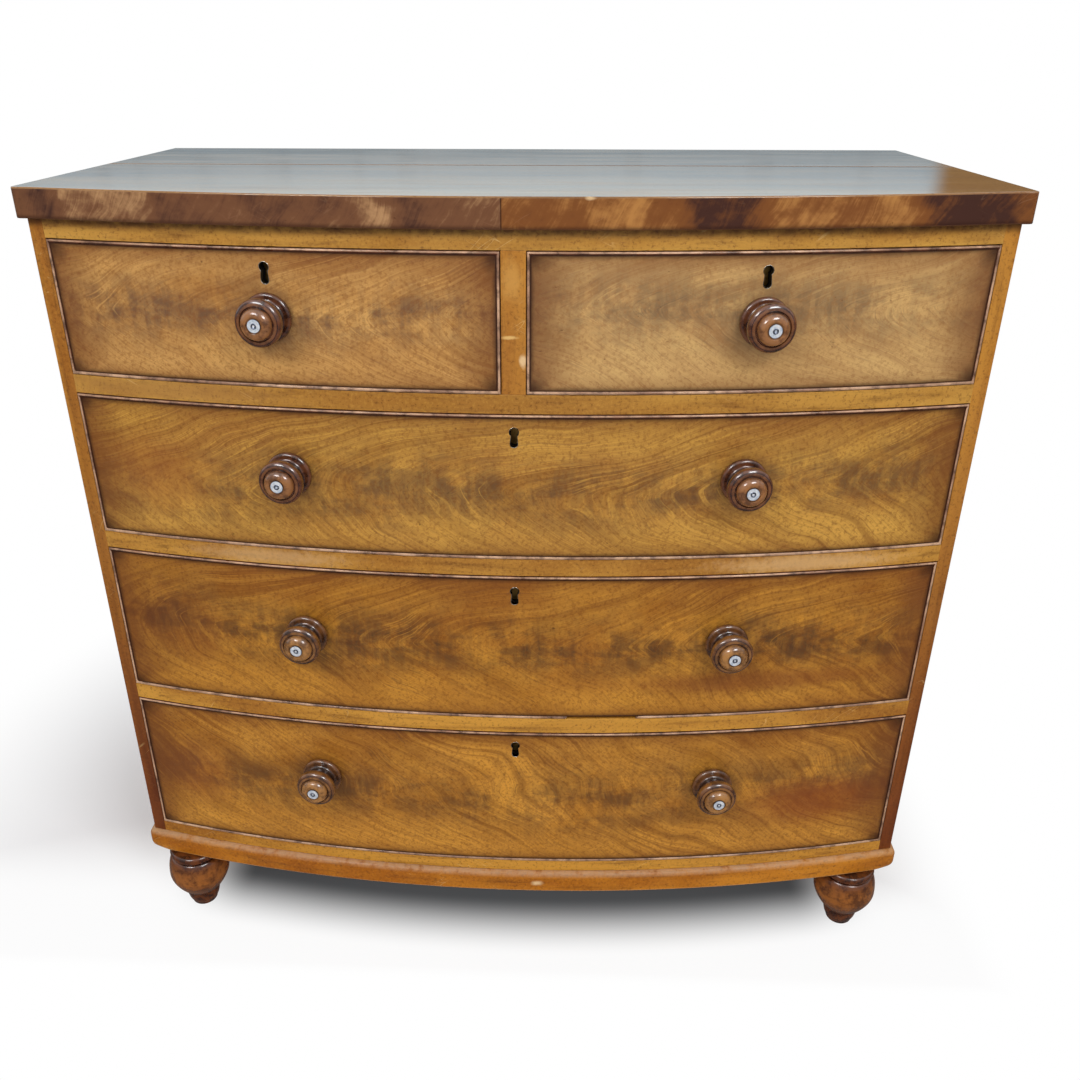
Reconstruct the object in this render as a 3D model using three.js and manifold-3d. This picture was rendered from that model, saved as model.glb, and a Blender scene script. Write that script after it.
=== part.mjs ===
// Bow-fronted chest of drawers: two short drawers above three long ones, on turned feet.
// Millimetres, +Z up, +X to the right when seen from the front, which faces -Y.
// The pieces are drawn with the back of the carcass on y = 0 and the floor on z = 0.
// At the end the whole chest is moved so that its origin is the middle of its footprint.

import * as THREE from 'three';
import { mergeVertices } from 'three/addons/utils/BufferGeometryUtils.js';
import Module from 'manifold-3d';

const wasm = await Module();
wasm.setup();

// Carcass
const carcassWidth = 1083;
const sideDepth = 499.5;
const bowRise = 64.5;
const sideThickness = 18;
const backThickness = 9;
const backRebate = 9;
const railHeight = 22.5;
const topRailHeight = 21.5;
const railEndDepth = 60;
const backRailDepth = 50;
const bottomBoardThickness = 18;
const dividerWidth = 27;
const runnerWidth = 40;
const guideHeight = 14;

// Joints inside the carcass
const glueLine = 0.3;
const tongueThickness = 9;
const tongueLength = 6;
const tongueSetback = 12;
const tenonThickness = 9;
const tenonDepth = 30;
const tenonLength = 10;
const stopWidth = 30;
const stopDepth = 18;
const stopHeight = 5;
const longStopX = 200;
const shortStopOffset = 120;

// Boards of the back
const backBoardGroove = 2;
const backGrooveDepth = 1.5;
const backBoards = 6;

// Drawer openings, from the top row down
const shortOpening = 155.5;
const upperOpening = 182;
const middleOpening = 209;
const lowerOpening = 221;

// Top
const topThickness = 33;
const topOverhang = 8.5;
const topReturn = 19.5;
const topArris = 1.5;

// Plinth
const plinthHeight = 33;
const plinthProud = 7.5;
const plinthWidth = 90;
const plinthRound = 6;

// Turned feet
const footHeight = 107;
const footSetIn = 62;
const frontFootSetBack = 26;
const backFootSetIn = 60;
const padFootRadius = 18.5;
const padTopRadius = 24.5;
const padHeight = 25.5;
const bunSpread = 31;
const bunSpreadHeight = 33;
const bunRadius = 43.5;
const bunFlank = 50;
const bunWidest = 63;
const bunTop = 94;
const bunShoulder = 34;
const collarRadius = 38;
const collarRound = 4;
const footTenonRadius = 10;
const footTenonLength = 20;

// Drawers
const beadGap = 0.8;
const beadWidth = 3.4;
const beadProud = 1.6;
const beadDepth = 7;
const frontThickness = 22;
const drawerSideThickness = 10;
const drawerSideDrop = 4;
const drawerBackThickness = 9;
const drawerBackDrop = 6;
const drawerBackRoom = 12;
const drawerBottomThickness = 7;
const drawerBottomLift = 8;
const drawerGroove = 5;
const tailLength = 11;
const beadLossStart = 66;
const beadLossLength = 92;

// Locks
const lockWidth = 60;
const lockHeight = 50;
const lockThickness = 10;
const boltWidth = 16;
const boltThickness = 5;
const boltLength = 42;
const boltSetback = 2.5;
const boltDrop = 0.5;
const boltTravel = 8;
const boltRoom = 1;
const keyholeDrop = 27;
const keyholeHead = 6;
const keyholeShank = 4;
const keyholeFoot = 5;
const keyholeHeight = 25;

// Knobs
const longKnobX = 264;
const shortKnobDrop = 75;
const upperKnobDrop = 81;
const middleKnobDrop = 96;
const lowerKnobDrop = 89;
const flangeRadius = 27.5;
const flangeRound = 3.5;
const flangeThickness = 8.5;
const neckRadius = 18.5;
const neckHeight = 14;
const rimBase = 21;
const rimFoot = 21.5;
const rimWidest = 29.5;
const rimRadius = 25.8;
const rimTop = 36;
const grooveRadius = 16.6;
const domeBase = 35;
const domeRadius = 15.8;
const discRadius = 8;
const knobHeight = 44;
const spigotRadius = 8;
const spigotLength = 17;

// Fineness of the facets, and how far a cutter reaches past what it cuts
const facetLength = 60;
const overrun = 4;
const knobSides = 16;
const footSides = 20;
const holeSides = 16;
const curveSteps = 2;
const bevelSteps = 3;

// Dovetails: how much of its pitch a tail fills at its root and at its end
const tailRootShare = 0.44;
const tailEndShare = 0.62;

// Places that follow from the sizes
const halfWidth = carcassWidth / 2;
const innerHalf = halfWidth - sideThickness;
const dividerHalf = dividerWidth / 2;
const bowRadius = (halfWidth ** 2 + bowRise ** 2) / (2 * bowRise);
const bowCentreY = bowRadius - bowRise - sideDepth;
const railBackY = railEndDepth - sideDepth;
const insideBackY = -backThickness - glueLine;
const plinthTop = footHeight + plinthHeight;
const lowerBase = plinthTop + bottomBoardThickness;
const middleBase = lowerBase + lowerOpening + railHeight;
const upperBase = middleBase + middleOpening + railHeight;
const shortBase = upperBase + upperOpening + railHeight;
const topRailBase = shortBase + shortOpening;
const carcassTop = topRailBase + topRailHeight;
const shortMiddleX = (innerHalf + dividerHalf) / 2;
const footX = halfWidth + plinthProud - footSetIn;
const frontFootY = bowY(footX, plinthProud) + frontFootSetBack;

// The front follows one arc from corner to corner. proud is how far ahead of it a face stands.
function bowY(x, proud) {
  return bowCentreY - Math.sqrt((bowRadius + proud) ** 2 - x * x);
}

function bowPoints(left, right, proud) {
  const steps = Math.max(1, Math.round((right - left) / facetLength));
  const points = [];
  for (let step = 0; step <= steps; step++) {
    const x = left + (right - left) * step / steps;
    points.push(new THREE.Vector2(x, bowY(x, proud)));
  }
  return points;
}

function asSolid(geometry) {
  const bare = geometry.clone();
  bare.deleteAttribute('normal');
  bare.deleteAttribute('uv');
  const merged = mergeVertices(bare);
  return new wasm.Manifold(new wasm.Mesh({
    numProp: 3,
    vertProperties: merged.attributes.position.array,
    triVerts: new Uint32Array(merged.index.array),
  }));
}

function asGeometry(solid) {
  const mesh = solid.getMesh();
  const geometry = new THREE.BufferGeometry();
  geometry.setAttribute('position', new THREE.BufferAttribute(mesh.vertProperties, 3));
  geometry.setIndex(new THREE.BufferAttribute(mesh.triVerts, 1));
  geometry.computeVertexNormals();
  return geometry;
}

function blockGeometry(left, right, front, back, low, high) {
  const geometry = new THREE.BoxGeometry(right - left, back - front, high - low);
  geometry.translate((left + right) / 2, (front + back) / 2, (low + high) / 2);
  return geometry;
}

function block(left, right, front, back, low, high) {
  return asSolid(blockGeometry(left, right, front, back, low, high));
}

function upright(points, low, high) {
  const geometry = new THREE.ExtrudeGeometry(new THREE.Shape(points), {
    depth: high - low,
    bevelEnabled: false,
  });
  geometry.translate(0, 0, low);
  return asSolid(geometry);
}

// A board with the bowed front and a straight back edge.
function bowedBoard(left, right, proud, backY, low, high) {
  const corners = [new THREE.Vector2(right, backY), new THREE.Vector2(left, backY)];
  return upright([...bowPoints(left, right, proud), ...corners], low, high);
}

// A board of one thickness that is bent to the bow all through.
function bentBoard(left, right, proud, behind, low, high) {
  const rear = bowPoints(left, right, -behind).reverse();
  return upright([...bowPoints(left, right, proud), ...rear], low, high);
}

// An outline drawn from above, made as thick as given, with its upper and lower edges eased.
function easedBoard(points, low, high, ease, steps) {
  const geometry = new THREE.ExtrudeGeometry(new THREE.Shape(points), {
    depth: high - low - 2 * ease,
    bevelThickness: ease,
    bevelSize: ease,
    bevelOffset: -ease,
    bevelSegments: steps,
  });
  geometry.translate(0, 0, low + ease);
  return asSolid(geometry);
}

function turned(path, sides) {
  return new THREE.LatheGeometry(path.getPoints(curveSteps), sides);
}

// Where a knob or lock sits: x along the front, turned square to the bow there.
function seatOnBow(x, z) {
  const turn = new THREE.Matrix4().makeRotationZ(Math.asin(x / bowRadius));
  return turn.setPosition(x, bowY(x, 0), z);
}

const chest = new THREE.Group();

function addPiece(name, geometry, colour, roughness, metalness) {
  const material = new THREE.MeshStandardMaterial({ color: colour, roughness, metalness });
  const mesh = new THREE.Mesh(geometry, material);
  mesh.name = name;
  chest.add(mesh);
  return mesh;
}

function addWood(name, solid, colour) {
  return addPiece(name, asGeometry(solid), colour, 0.4, 0);
}

const honeyMahogany = 0xb9822f;
const figuredMahogany = 0xb07c3c;
const darkMahogany = 0x5a3324;
const beadMahogany = 0x8c5a3c;
const pine = 0xb59668;
const oak = 0xa98a5e;
const iron = 0x5b5650;
const brass = 0xa88a4a;

// What the lock bolts need above them: a slot in the rail over each drawer.
function boltSlot(x, openingTop) {
  const depth = boltTravel - boltDrop - beadGap + boltRoom;
  const front = frontThickness - boltSetback - boltThickness - boltRoom;
  const back = frontThickness - boltSetback + boltRoom;
  const half = boltWidth / 2 + boltRoom;
  const slot = blockGeometry(-half, half, front, back, -overrun, depth);
  slot.applyMatrix4(seatOnBow(x, openingTop));
  return asSolid(slot);
}

function housedTongue(frontY, backY, middle) {
  const reach = innerHalf + tongueLength - glueLine;
  return block(-reach, reach, frontY, backY, middle - tongueThickness / 2, middle + tongueThickness / 2);
}

// The small blocks that the back of a drawer front closes against.
function drawerStop(x, level) {
  const face = bowY(Math.abs(x) + stopWidth / 2, -frontThickness) + glueLine;
  const left = x - stopWidth / 2;
  return block(left, left + stopWidth, face, face + stopDepth, level - overrun, level + stopHeight);
}

function dividerTenon(low, high) {
  const front = railBackY - tenonDepth;
  return (grow) => block(
    -tenonThickness / 2 - grow, tenonThickness / 2 + grow,
    front - grow, railBackY - tenonDepth / 2 + grow, low - grow, high + grow,
  );
}

const lowerTenon = dividerTenon(shortBase - tenonLength, shortBase + overrun);
const upperTenon = dividerTenon(topRailBase - overrun, topRailBase + tenonLength);

function drawerRail(name, base, stops, boltXs) {
  const reach = innerHalf - glueLine;
  let rail = bowedBoard(-reach, reach, 0, railBackY, base, base + railHeight);
  rail = rail.add(housedTongue(tongueSetback - sideDepth, railBackY, base + railHeight / 2));
  for (const x of stops) rail = rail.add(drawerStop(x, base + railHeight));
  for (const x of boltXs) rail = rail.subtract(boltSlot(x, base));
  if (base + railHeight === shortBase) rail = rail.subtract(lowerTenon(glueLine));
  addWood(name, rail, honeyMahogany);
}

// Runners for the drawer above with a thin board between them, housed in the sides.
function dustBoard(name, base, bearers) {
  const front = railBackY + glueLine;
  let board = housedTongue(front, insideBackY, base + railHeight / 2);
  for (const [left, right] of bearers) {
    board = board.add(block(left, right, front, insideBackY, base, base + railHeight));
  }
  addWood(name, board, pine);
}

function makeCarcassBoards() {
  const reach = innerHalf - glueLine;
  const sideRunners = [[-reach, runnerWidth - innerHalf], [innerHalf - runnerWidth, reach]];
  const middleRunner = [[-dividerHalf - runnerWidth, dividerHalf + runnerWidth]];
  const longStops = [-longStopX, longStopX];
  const shortStops = [];
  for (const middle of [-shortMiddleX, shortMiddleX]) {
    shortStops.push(middle - shortStopOffset, middle + shortStopOffset);
  }

  drawerRail('drawer_rail_upper', shortBase - railHeight, shortStops, [0]);
  drawerRail('drawer_rail_middle', upperBase - railHeight, longStops, [0]);
  drawerRail('drawer_rail_lower', middleBase - railHeight, longStops, [0]);
  dustBoard('dust_board_upper', shortBase - railHeight, [...sideRunners, ...middleRunner]);
  dustBoard('dust_board_middle', upperBase - railHeight, sideRunners);
  dustBoard('dust_board_lower', middleBase - railHeight, sideRunners);

  const topRailTop = carcassTop - glueLine;
  const topRailMiddle = topRailBase + topRailHeight / 2;
  let topRail = bowedBoard(-reach, reach, 0, railBackY, topRailBase, topRailTop);
  topRail = topRail.add(housedTongue(tongueSetback - sideDepth, railBackY, topRailMiddle));
  for (const x of [-shortMiddleX, shortMiddleX]) topRail = topRail.subtract(boltSlot(x, topRailBase));
  addWood('top_rail', topRail.subtract(upperTenon(glueLine)), honeyMahogany);

  const backRailFront = insideBackY - backRailDepth;
  let backRail = block(-reach, reach, backRailFront, insideBackY, topRailBase, topRailTop);
  backRail = backRail.add(housedTongue(backRailFront, insideBackY, topRailMiddle));
  addWood('top_back_rail', backRail, pine);

  const bottomLow = plinthTop + glueLine;
  let bottom = bowedBoard(-reach, reach, 0, insideBackY, bottomLow, lowerBase);
  bottom = bottom.add(housedTongue(tongueSetback - sideDepth, insideBackY, (bottomLow + lowerBase) / 2));
  for (const x of longStops) bottom = bottom.add(drawerStop(x, lowerBase));
  addWood('bottom_board', bottom, honeyMahogany);
}

function makeDivider() {
  const low = shortBase + glueLine;
  const high = topRailBase - glueLine;
  let divider = bowedBoard(-dividerHalf, dividerHalf, 0, railBackY, low, high);
  divider = divider.add(lowerTenon(0)).add(upperTenon(0));
  addWood('centre_divider', divider, honeyMahogany);
  const guide = block(
    -dividerHalf, dividerHalf, railBackY + glueLine, insideBackY, low, low + guideHeight,
  );
  addWood('centre_guide', guide, oak);
}

function makeSide(name, hand) {
  const near = hand * innerHalf;
  const far = hand * halfWidth;
  const span = (a, b) => [Math.min(a, b), Math.max(a, b)];
  const high = carcassTop - glueLine;
  let side = bowedBoard(...span(near, far), 0, 0, plinthTop + glueLine, high);
  const groove = span(near - hand * overrun, near + hand * tongueLength);
  const grooveFront = tongueSetback - sideDepth - glueLine;
  const middles = [
    (plinthTop + glueLine + lowerBase) / 2,
    middleBase - railHeight / 2,
    upperBase - railHeight / 2,
    shortBase - railHeight / 2,
    topRailBase + topRailHeight / 2,
  ];
  const half = tongueThickness / 2 + glueLine;
  for (const middle of middles) {
    side = side.subtract(block(...groove, grooveFront, insideBackY, middle - half, middle + half));
  }
  const rebate = span(near - hand * overrun, near + hand * backRebate);
  side = side.subtract(block(...rebate, insideBackY, overrun, plinthTop - overrun, carcassTop + overrun));
  addWood(name, side, figuredMahogany);
}

function makeBack() {
  const reach = innerHalf + backRebate - glueLine;
  let back = block(-reach, reach, -backThickness, 0, plinthTop + glueLine, carcassTop - glueLine);
  for (let joint = 1; joint < backBoards; joint++) {
    const x = -reach + 2 * reach * joint / backBoards;
    const left = x - backBoardGroove / 2;
    back = back.subtract(block(
      left, left + backBoardGroove, -backGrooveDepth, overrun, plinthTop - overrun, carcassTop + overrun,
    ));
  }
  addWood('back_panel', back, pine);
}

function makeTop() {
  const halfTop = halfWidth + topOverhang;
  const arcHalf = halfTop - topReturn;
  const returnY = bowY(arcHalf, topOverhang);
  const outline = [
    new THREE.Vector2(-halfTop, returnY),
    ...bowPoints(-arcHalf, arcHalf, topOverhang),
    new THREE.Vector2(halfTop, returnY),
    new THREE.Vector2(halfTop, 0),
    new THREE.Vector2(-halfTop, 0),
  ];
  addWood('top_board', easedBoard(outline, carcassTop, carcassTop + topThickness, topArris, 1), darkMahogany);
}

function footHole(x, y) {
  const depth = footTenonLength + 2 * glueLine;
  const radius = footTenonRadius + glueLine;
  const hole = new THREE.CylinderGeometry(radius, radius, depth + overrun, holeSides);
  hole.rotateX(Math.PI / 2);
  hole.translate(x, y, footHeight + (depth - overrun) / 2);
  return asSolid(hole);
}

// One eased frame, open at the back, cut on the mitre into a front piece and two side pieces.
function makePlinth() {
  const outer = halfWidth + plinthProud;
  const inner = outer - plinthWidth;
  const cornerY = bowY(outer, plinthProud);
  const innerY = plinthWidth - sideDepth;
  const outline = [
    new THREE.Vector2(-outer, 0),
    ...bowPoints(-outer, outer, plinthProud),
    new THREE.Vector2(outer, 0),
    new THREE.Vector2(inner, 0),
    new THREE.Vector2(inner, innerY),
    new THREE.Vector2(-inner, innerY),
    new THREE.Vector2(-inner, 0),
  ];
  let frame = easedBoard(outline, footHeight, plinthTop, plinthRound, bevelSteps);
  for (const x of [-footX, footX]) {
    for (const y of [frontFootY, -backFootSetIn]) frame = frame.subtract(footHole(x, y));
  }
  const slope = (innerY - cornerY) / plinthWidth;
  const sideRegion = (hand, shift) => {
    const start = outer + overrun;
    const end = inner - overrun;
    const points = [
      new THREE.Vector2(hand * start, cornerY - slope * overrun + shift),
      new THREE.Vector2(hand * end, innerY + slope * overrun + shift),
      new THREE.Vector2(hand * end, overrun),
      new THREE.Vector2(hand * start, overrun),
    ];
    if (hand > 0) points.reverse();
    return upright(points, footHeight - overrun, plinthTop + overrun);
  };
  addWood('plinth_left', frame.intersect(sideRegion(-1, glueLine)), honeyMahogany);
  addWood('plinth_right', frame.intersect(sideRegion(1, glueLine)), honeyMahogany);
  addWood('plinth_front', frame.subtract(sideRegion(-1, 0)).subtract(sideRegion(1, 0)), honeyMahogany);
}

function footPath() {
  const seat = footHeight - glueLine;
  const path = new THREE.Path();
  path.moveTo(0, 0);
  path.lineTo(padFootRadius, 0);
  path.lineTo(padTopRadius, padHeight);
  path.bezierCurveTo(bunSpread, bunSpreadHeight, bunRadius, bunFlank, bunRadius, bunWidest);
  path.absellipse(bunShoulder, bunWidest, bunRadius - bunShoulder, bunTop - bunWidest, 0, Math.PI / 2);
  const collarMiddle = (bunTop + seat) / 2;
  const collarHalf = (seat - bunTop) / 2;
  path.absellipse(
    collarRadius - collarRound, collarMiddle, collarRound, collarHalf, -Math.PI / 2, Math.PI / 2,
  );
  path.lineTo(footTenonRadius, seat);
  path.lineTo(footTenonRadius, footHeight + footTenonLength);
  path.lineTo(0, footHeight + footTenonLength);
  return path;
}

function makeFeet() {
  const geometry = turned(footPath(), footSides);
  geometry.rotateX(Math.PI / 2);
  const feet = [
    ['foot_front_left', -footX, frontFootY],
    ['foot_front_right', footX, frontFootY],
    ['foot_back_left', -footX, -backFootSetIn],
    ['foot_back_right', footX, -backFootSetIn],
  ];
  for (const [name, x, y] of feet) addPiece(name, geometry, honeyMahogany, 0.3, 0).position.set(x, y, 0);
}

function knobPath() {
  const path = new THREE.Path();
  const flangeEdge = flangeRadius - flangeRound;
  path.moveTo(0, -spigotLength);
  path.lineTo(spigotRadius, -spigotLength);
  path.lineTo(spigotRadius, glueLine);
  path.absellipse(
    flangeEdge, (glueLine + flangeThickness) / 2, flangeRound, (flangeThickness - glueLine) / 2,
    -Math.PI / 2, Math.PI / 2,
  );
  path.quadraticCurveTo(neckRadius, flangeThickness, neckRadius, neckHeight);
  path.lineTo(rimFoot, rimBase);
  path.absellipse(rimFoot, rimWidest, rimRadius - rimFoot, rimWidest - rimBase, -Math.PI / 2, 0);
  path.absellipse(grooveRadius, rimWidest, rimRadius - grooveRadius, rimTop - rimWidest, 0, Math.PI / 2);
  path.lineTo(grooveRadius, domeBase);
  path.absellipse(discRadius, domeBase, domeRadius - discRadius, knobHeight - domeBase, 0, Math.PI / 2);
  path.lineTo(0, knobHeight);
  return path;
}

const knobGeometry = turned(knobPath(), knobSides);
knobGeometry.rotateX(Math.PI);

function addKnob(name, x, z) {
  const knob = addPiece(name, knobGeometry, darkMahogany, 0.22, 0);
  knob.applyMatrix4(seatOnBow(x, z));
}

function spigotHole(x, z) {
  const radius = spigotRadius + glueLine;
  const depth = spigotLength + glueLine;
  const hole = new THREE.CylinderGeometry(radius, radius, depth + overrun, holeSides);
  hole.translate(0, (depth - overrun) / 2, 0);
  hole.applyMatrix4(seatOnBow(x, z));
  return asSolid(hole);
}

function keyholeShape() {
  const head = keyholeHeight / 2 - keyholeHead;
  const foot = keyholeFoot - keyholeHeight / 2;
  const waist = Math.asin(keyholeShank / keyholeHead);
  const shape = new THREE.Shape();
  shape.absarc(0, foot, keyholeFoot, Math.PI, 2 * Math.PI);
  shape.lineTo(keyholeShank, head - keyholeHead * Math.cos(waist));
  shape.absarc(0, head, keyholeHead, waist - Math.PI / 2, 3 * Math.PI / 2 - waist);
  return shape;
}

function keyholeCut(x, z, depth) {
  const cut = new THREE.ExtrudeGeometry(keyholeShape(), {
    depth: depth + overrun,
    bevelEnabled: false,
    curveSegments: holeSides / 2,
  });
  cut.rotateX(Math.PI / 2);
  cut.translate(0, depth, 0);
  cut.applyMatrix4(seatOnBow(x, z));
  return asSolid(cut);
}

// The tails on one drawer side, which enter the end of the front from behind.
function tails(left, right, frontY, backY, low, high, count, grow) {
  const pitch = (high - low) / count;
  let all = null;
  for (let tail = 0; tail < count; tail++) {
    const middle = low + pitch * (tail + 0.5);
    const endHalf = pitch * tailEndShare / 2 + grow;
    const rootHalf = pitch * tailRootShare / 2 + grow;
    const outline = new THREE.Shape([
      new THREE.Vector2(frontY - grow, middle - endHalf),
      new THREE.Vector2(backY, middle - rootHalf),
      new THREE.Vector2(backY, middle + rootHalf),
      new THREE.Vector2(frontY - grow, middle + endHalf),
    ]);
    const geometry = new THREE.ExtrudeGeometry(outline, { depth: right - left, bevelEnabled: false });
    const acrossX = new THREE.Matrix4().makeBasis(
      new THREE.Vector3(0, 1, 0), new THREE.Vector3(0, 0, 1), new THREE.Vector3(1, 0, 0),
    );
    geometry.applyMatrix4(acrossX);
    geometry.translate(left, 0, 0);
    const solid = asSolid(geometry);
    all = all ? all.add(solid) : solid;
  }
  return all;
}

function makeLock(drawer) {
  const top = drawer.top - beadGap;
  const seat = seatOnBow(drawer.lockX, top);
  const caseFront = frontThickness - lockThickness;
  const lockCase = (grow) => {
    const half = lockWidth / 2 + grow;
    const rise = grow > 0 ? overrun : 0;
    const body = blockGeometry(
      -half, half, caseFront - grow, frontThickness + rise, -lockHeight - grow, rise,
    );
    body.applyMatrix4(seat);
    return asSolid(body);
  };
  const boltBack = frontThickness - boltSetback;
  const boltFront = boltBack - boltThickness;
  const boltHalf = boltWidth / 2;
  const well = blockGeometry(
    -boltHalf - glueLine, boltHalf + glueLine, boltFront - glueLine, boltBack + glueLine,
    -boltDrop - boltLength - glueLine, overrun,
  );
  well.applyMatrix4(seat);
  const keyhole = keyholeCut(drawer.lockX, top - keyholeDrop, boltFront);
  const body = lockCase(0).subtract(asSolid(well)).subtract(keyhole);
  addPiece(`${drawer.name}_lock_case`, asGeometry(body), iron, 0.55, 0.8);

  const bolt = blockGeometry(
    -boltHalf, boltHalf, boltFront, boltBack, -boltDrop - boltLength, -boltDrop,
  );
  bolt.applyMatrix4(seat);
  addPiece(`${drawer.name}_lock_bolt`, asGeometry(asSolid(bolt)), brass, 0.4, 0.9);
  return [lockCase(glueLine), keyhole];
}

function makeBead(drawer, left, right, low, high) {
  const inset = beadWidth;
  let bead = bentBoard(left, right, beadProud, beadDepth - glueLine, low, high);
  bead = bead.subtract(bentBoard(
    left + inset, right - inset, beadProud + overrun, beadDepth + overrun, low + inset, high - inset,
  ));
  if (drawer.beadLoss) {
    const lossEnd = beadLossStart + beadLossLength;
    bead = bead.subtract(bentBoard(
      beadLossStart, lossEnd, beadProud + overrun, beadDepth + overrun, low - overrun, low + inset + glueLine,
    ));
  }
  addWood(`${drawer.name}_cock_bead`, bead, beadMahogany);
}

// Curved front, cock bead round it, dovetailed box, bottom let into grooves, lock and knobs.
function makeDrawer(drawer) {
  const left = drawer.left + beadGap;
  const right = drawer.right - beadGap;
  const low = drawer.base + beadGap;
  const high = drawer.top - beadGap;
  const inset = beadWidth + glueLine;
  const backY = -backThickness - drawerBackRoom;
  const sideLow = drawer.base + glueLine;
  const sideHigh = high - drawerSideDrop;
  const bottomLow = drawer.base + drawerBottomLift;
  const bottomHigh = bottomLow + drawerBottomThickness;

  const hands = [
    { out: left, into: left + drawerSideThickness, hand: -1 },
    { out: right, into: right - drawerSideThickness, hand: 1 },
  ];
  for (const side of hands) {
    side.endY = Math.min(bowY(side.out, -frontThickness), bowY(side.into, -frontThickness)) - tailLength;
    side.rootY = Math.max(bowY(side.out, -frontThickness), bowY(side.into, -frontThickness));
  }
  const sideTails = (side, grow) => {
    const outer = side.out + side.hand * (grow > 0 ? overrun : 0);
    const inner = side.into - side.hand * grow;
    return tails(
      Math.min(outer, inner), Math.max(outer, inner), side.endY, side.rootY + drawerSideThickness,
      sideLow, sideHigh, drawer.tails, grow,
    );
  };

  const bottomBoard = (grow) => bowedBoard(
    left + drawerSideThickness - drawerGroove + glueLine - grow,
    right - drawerSideThickness + drawerGroove - glueLine + grow,
    drawerGroove - glueLine - frontThickness + grow,
    backY + (grow > 0 ? overrun : 0), bottomLow - grow, bottomHigh + grow,
  );

  let front = bentBoard(left, right, -beadDepth, frontThickness, low, high);
  front = front.add(bentBoard(
    left + inset, right - inset, 0, (beadDepth + frontThickness) / 2, low + inset, high - inset,
  ));
  for (const side of hands) front = front.subtract(sideTails(side, glueLine));
  front = front.subtract(bottomBoard(glueLine));
  for (const cut of makeLock(drawer)) front = front.subtract(cut);
  for (const x of drawer.knobs) front = front.subtract(spigotHole(x, drawer.top - drawer.knobDrop));
  addWood(`${drawer.name}_front`, front, figuredMahogany);

  const frontRoom = bentBoard(
    left - overrun, right + overrun, beadProud + overrun, frontThickness + glueLine,
    sideLow - overrun, sideHigh + overrun,
  );
  let box = block(
    left, right, backY - drawerBackThickness, backY, bottomHigh + glueLine, sideHigh - drawerBackDrop,
  );
  for (const side of hands) {
    const [a, b] = [Math.min(side.out, side.into), Math.max(side.out, side.into)];
    const board = block(a, b, side.endY, backY, sideLow, sideHigh).subtract(frontRoom);
    box = box.add(board).add(sideTails(side, 0));
  }
  addWood(`${drawer.name}_box`, box.subtract(bottomBoard(glueLine)), oak);
  addWood(`${drawer.name}_bottom`, bottomBoard(0), pine);
  makeBead(drawer, left, right, low, high);
  drawer.knobs.forEach((x, index) => {
    addKnob(`${drawer.name}_${drawer.knobNames[index]}`, x, drawer.top - drawer.knobDrop);
  });
}

function makeDrawers() {
  for (const [name, hand] of [['short_drawer_left', -1], ['short_drawer_right', 1]]) {
    makeDrawer({
      name,
      left: hand < 0 ? -innerHalf : dividerHalf,
      right: hand < 0 ? -dividerHalf : innerHalf,
      base: shortBase,
      top: topRailBase,
      lockX: hand * shortMiddleX,
      knobs: [hand * shortMiddleX],
      knobNames: ['knob'],
      knobDrop: shortKnobDrop,
      tails: 3,
    });
  }
  const rows = [
    { name: 'upper_drawer', base: upperBase, opening: upperOpening, knobDrop: upperKnobDrop, tails: 3 },
    { name: 'middle_drawer', base: middleBase, opening: middleOpening, knobDrop: middleKnobDrop, tails: 4 },
    { name: 'lower_drawer', base: lowerBase, opening: lowerOpening, knobDrop: lowerKnobDrop, tails: 4 },
  ];
  for (const row of rows) {
    makeDrawer({
      name: row.name,
      left: -innerHalf,
      right: innerHalf,
      base: row.base,
      top: row.base + row.opening,
      lockX: 0,
      knobs: [-longKnobX, longKnobX],
      knobNames: ['knob_left', 'knob_right'],
      knobDrop: row.knobDrop,
      tails: row.tails,
      beadLoss: row.name === 'middle_drawer',
    });
  }
}

makeTop();
makeSide('side_left', -1);
makeSide('side_right', 1);
makeBack();
makeCarcassBoards();
makeDivider();
makePlinth();
makeFeet();
makeDrawers();

const bounds = new THREE.Box3().setFromObject(chest);
const middle = bounds.getCenter(new THREE.Vector3());
chest.position.set(-middle.x, -middle.y, -bounds.min.z);

export default chest;
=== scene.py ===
"""Dresses the bow front chest of drawers: fine rounded woodwork, turned knobs and feet, veneers and polish.

Lengths are in metres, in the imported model's own frame: the floor is z 0 and the bowed front faces -Y.
Pieces with joints, dovetails or grooves keep their solids; the others are drawn again here with finer curves.
"""

import math

import bmesh
import bpy
import numpy as np
from mathutils import Matrix, Vector


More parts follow.
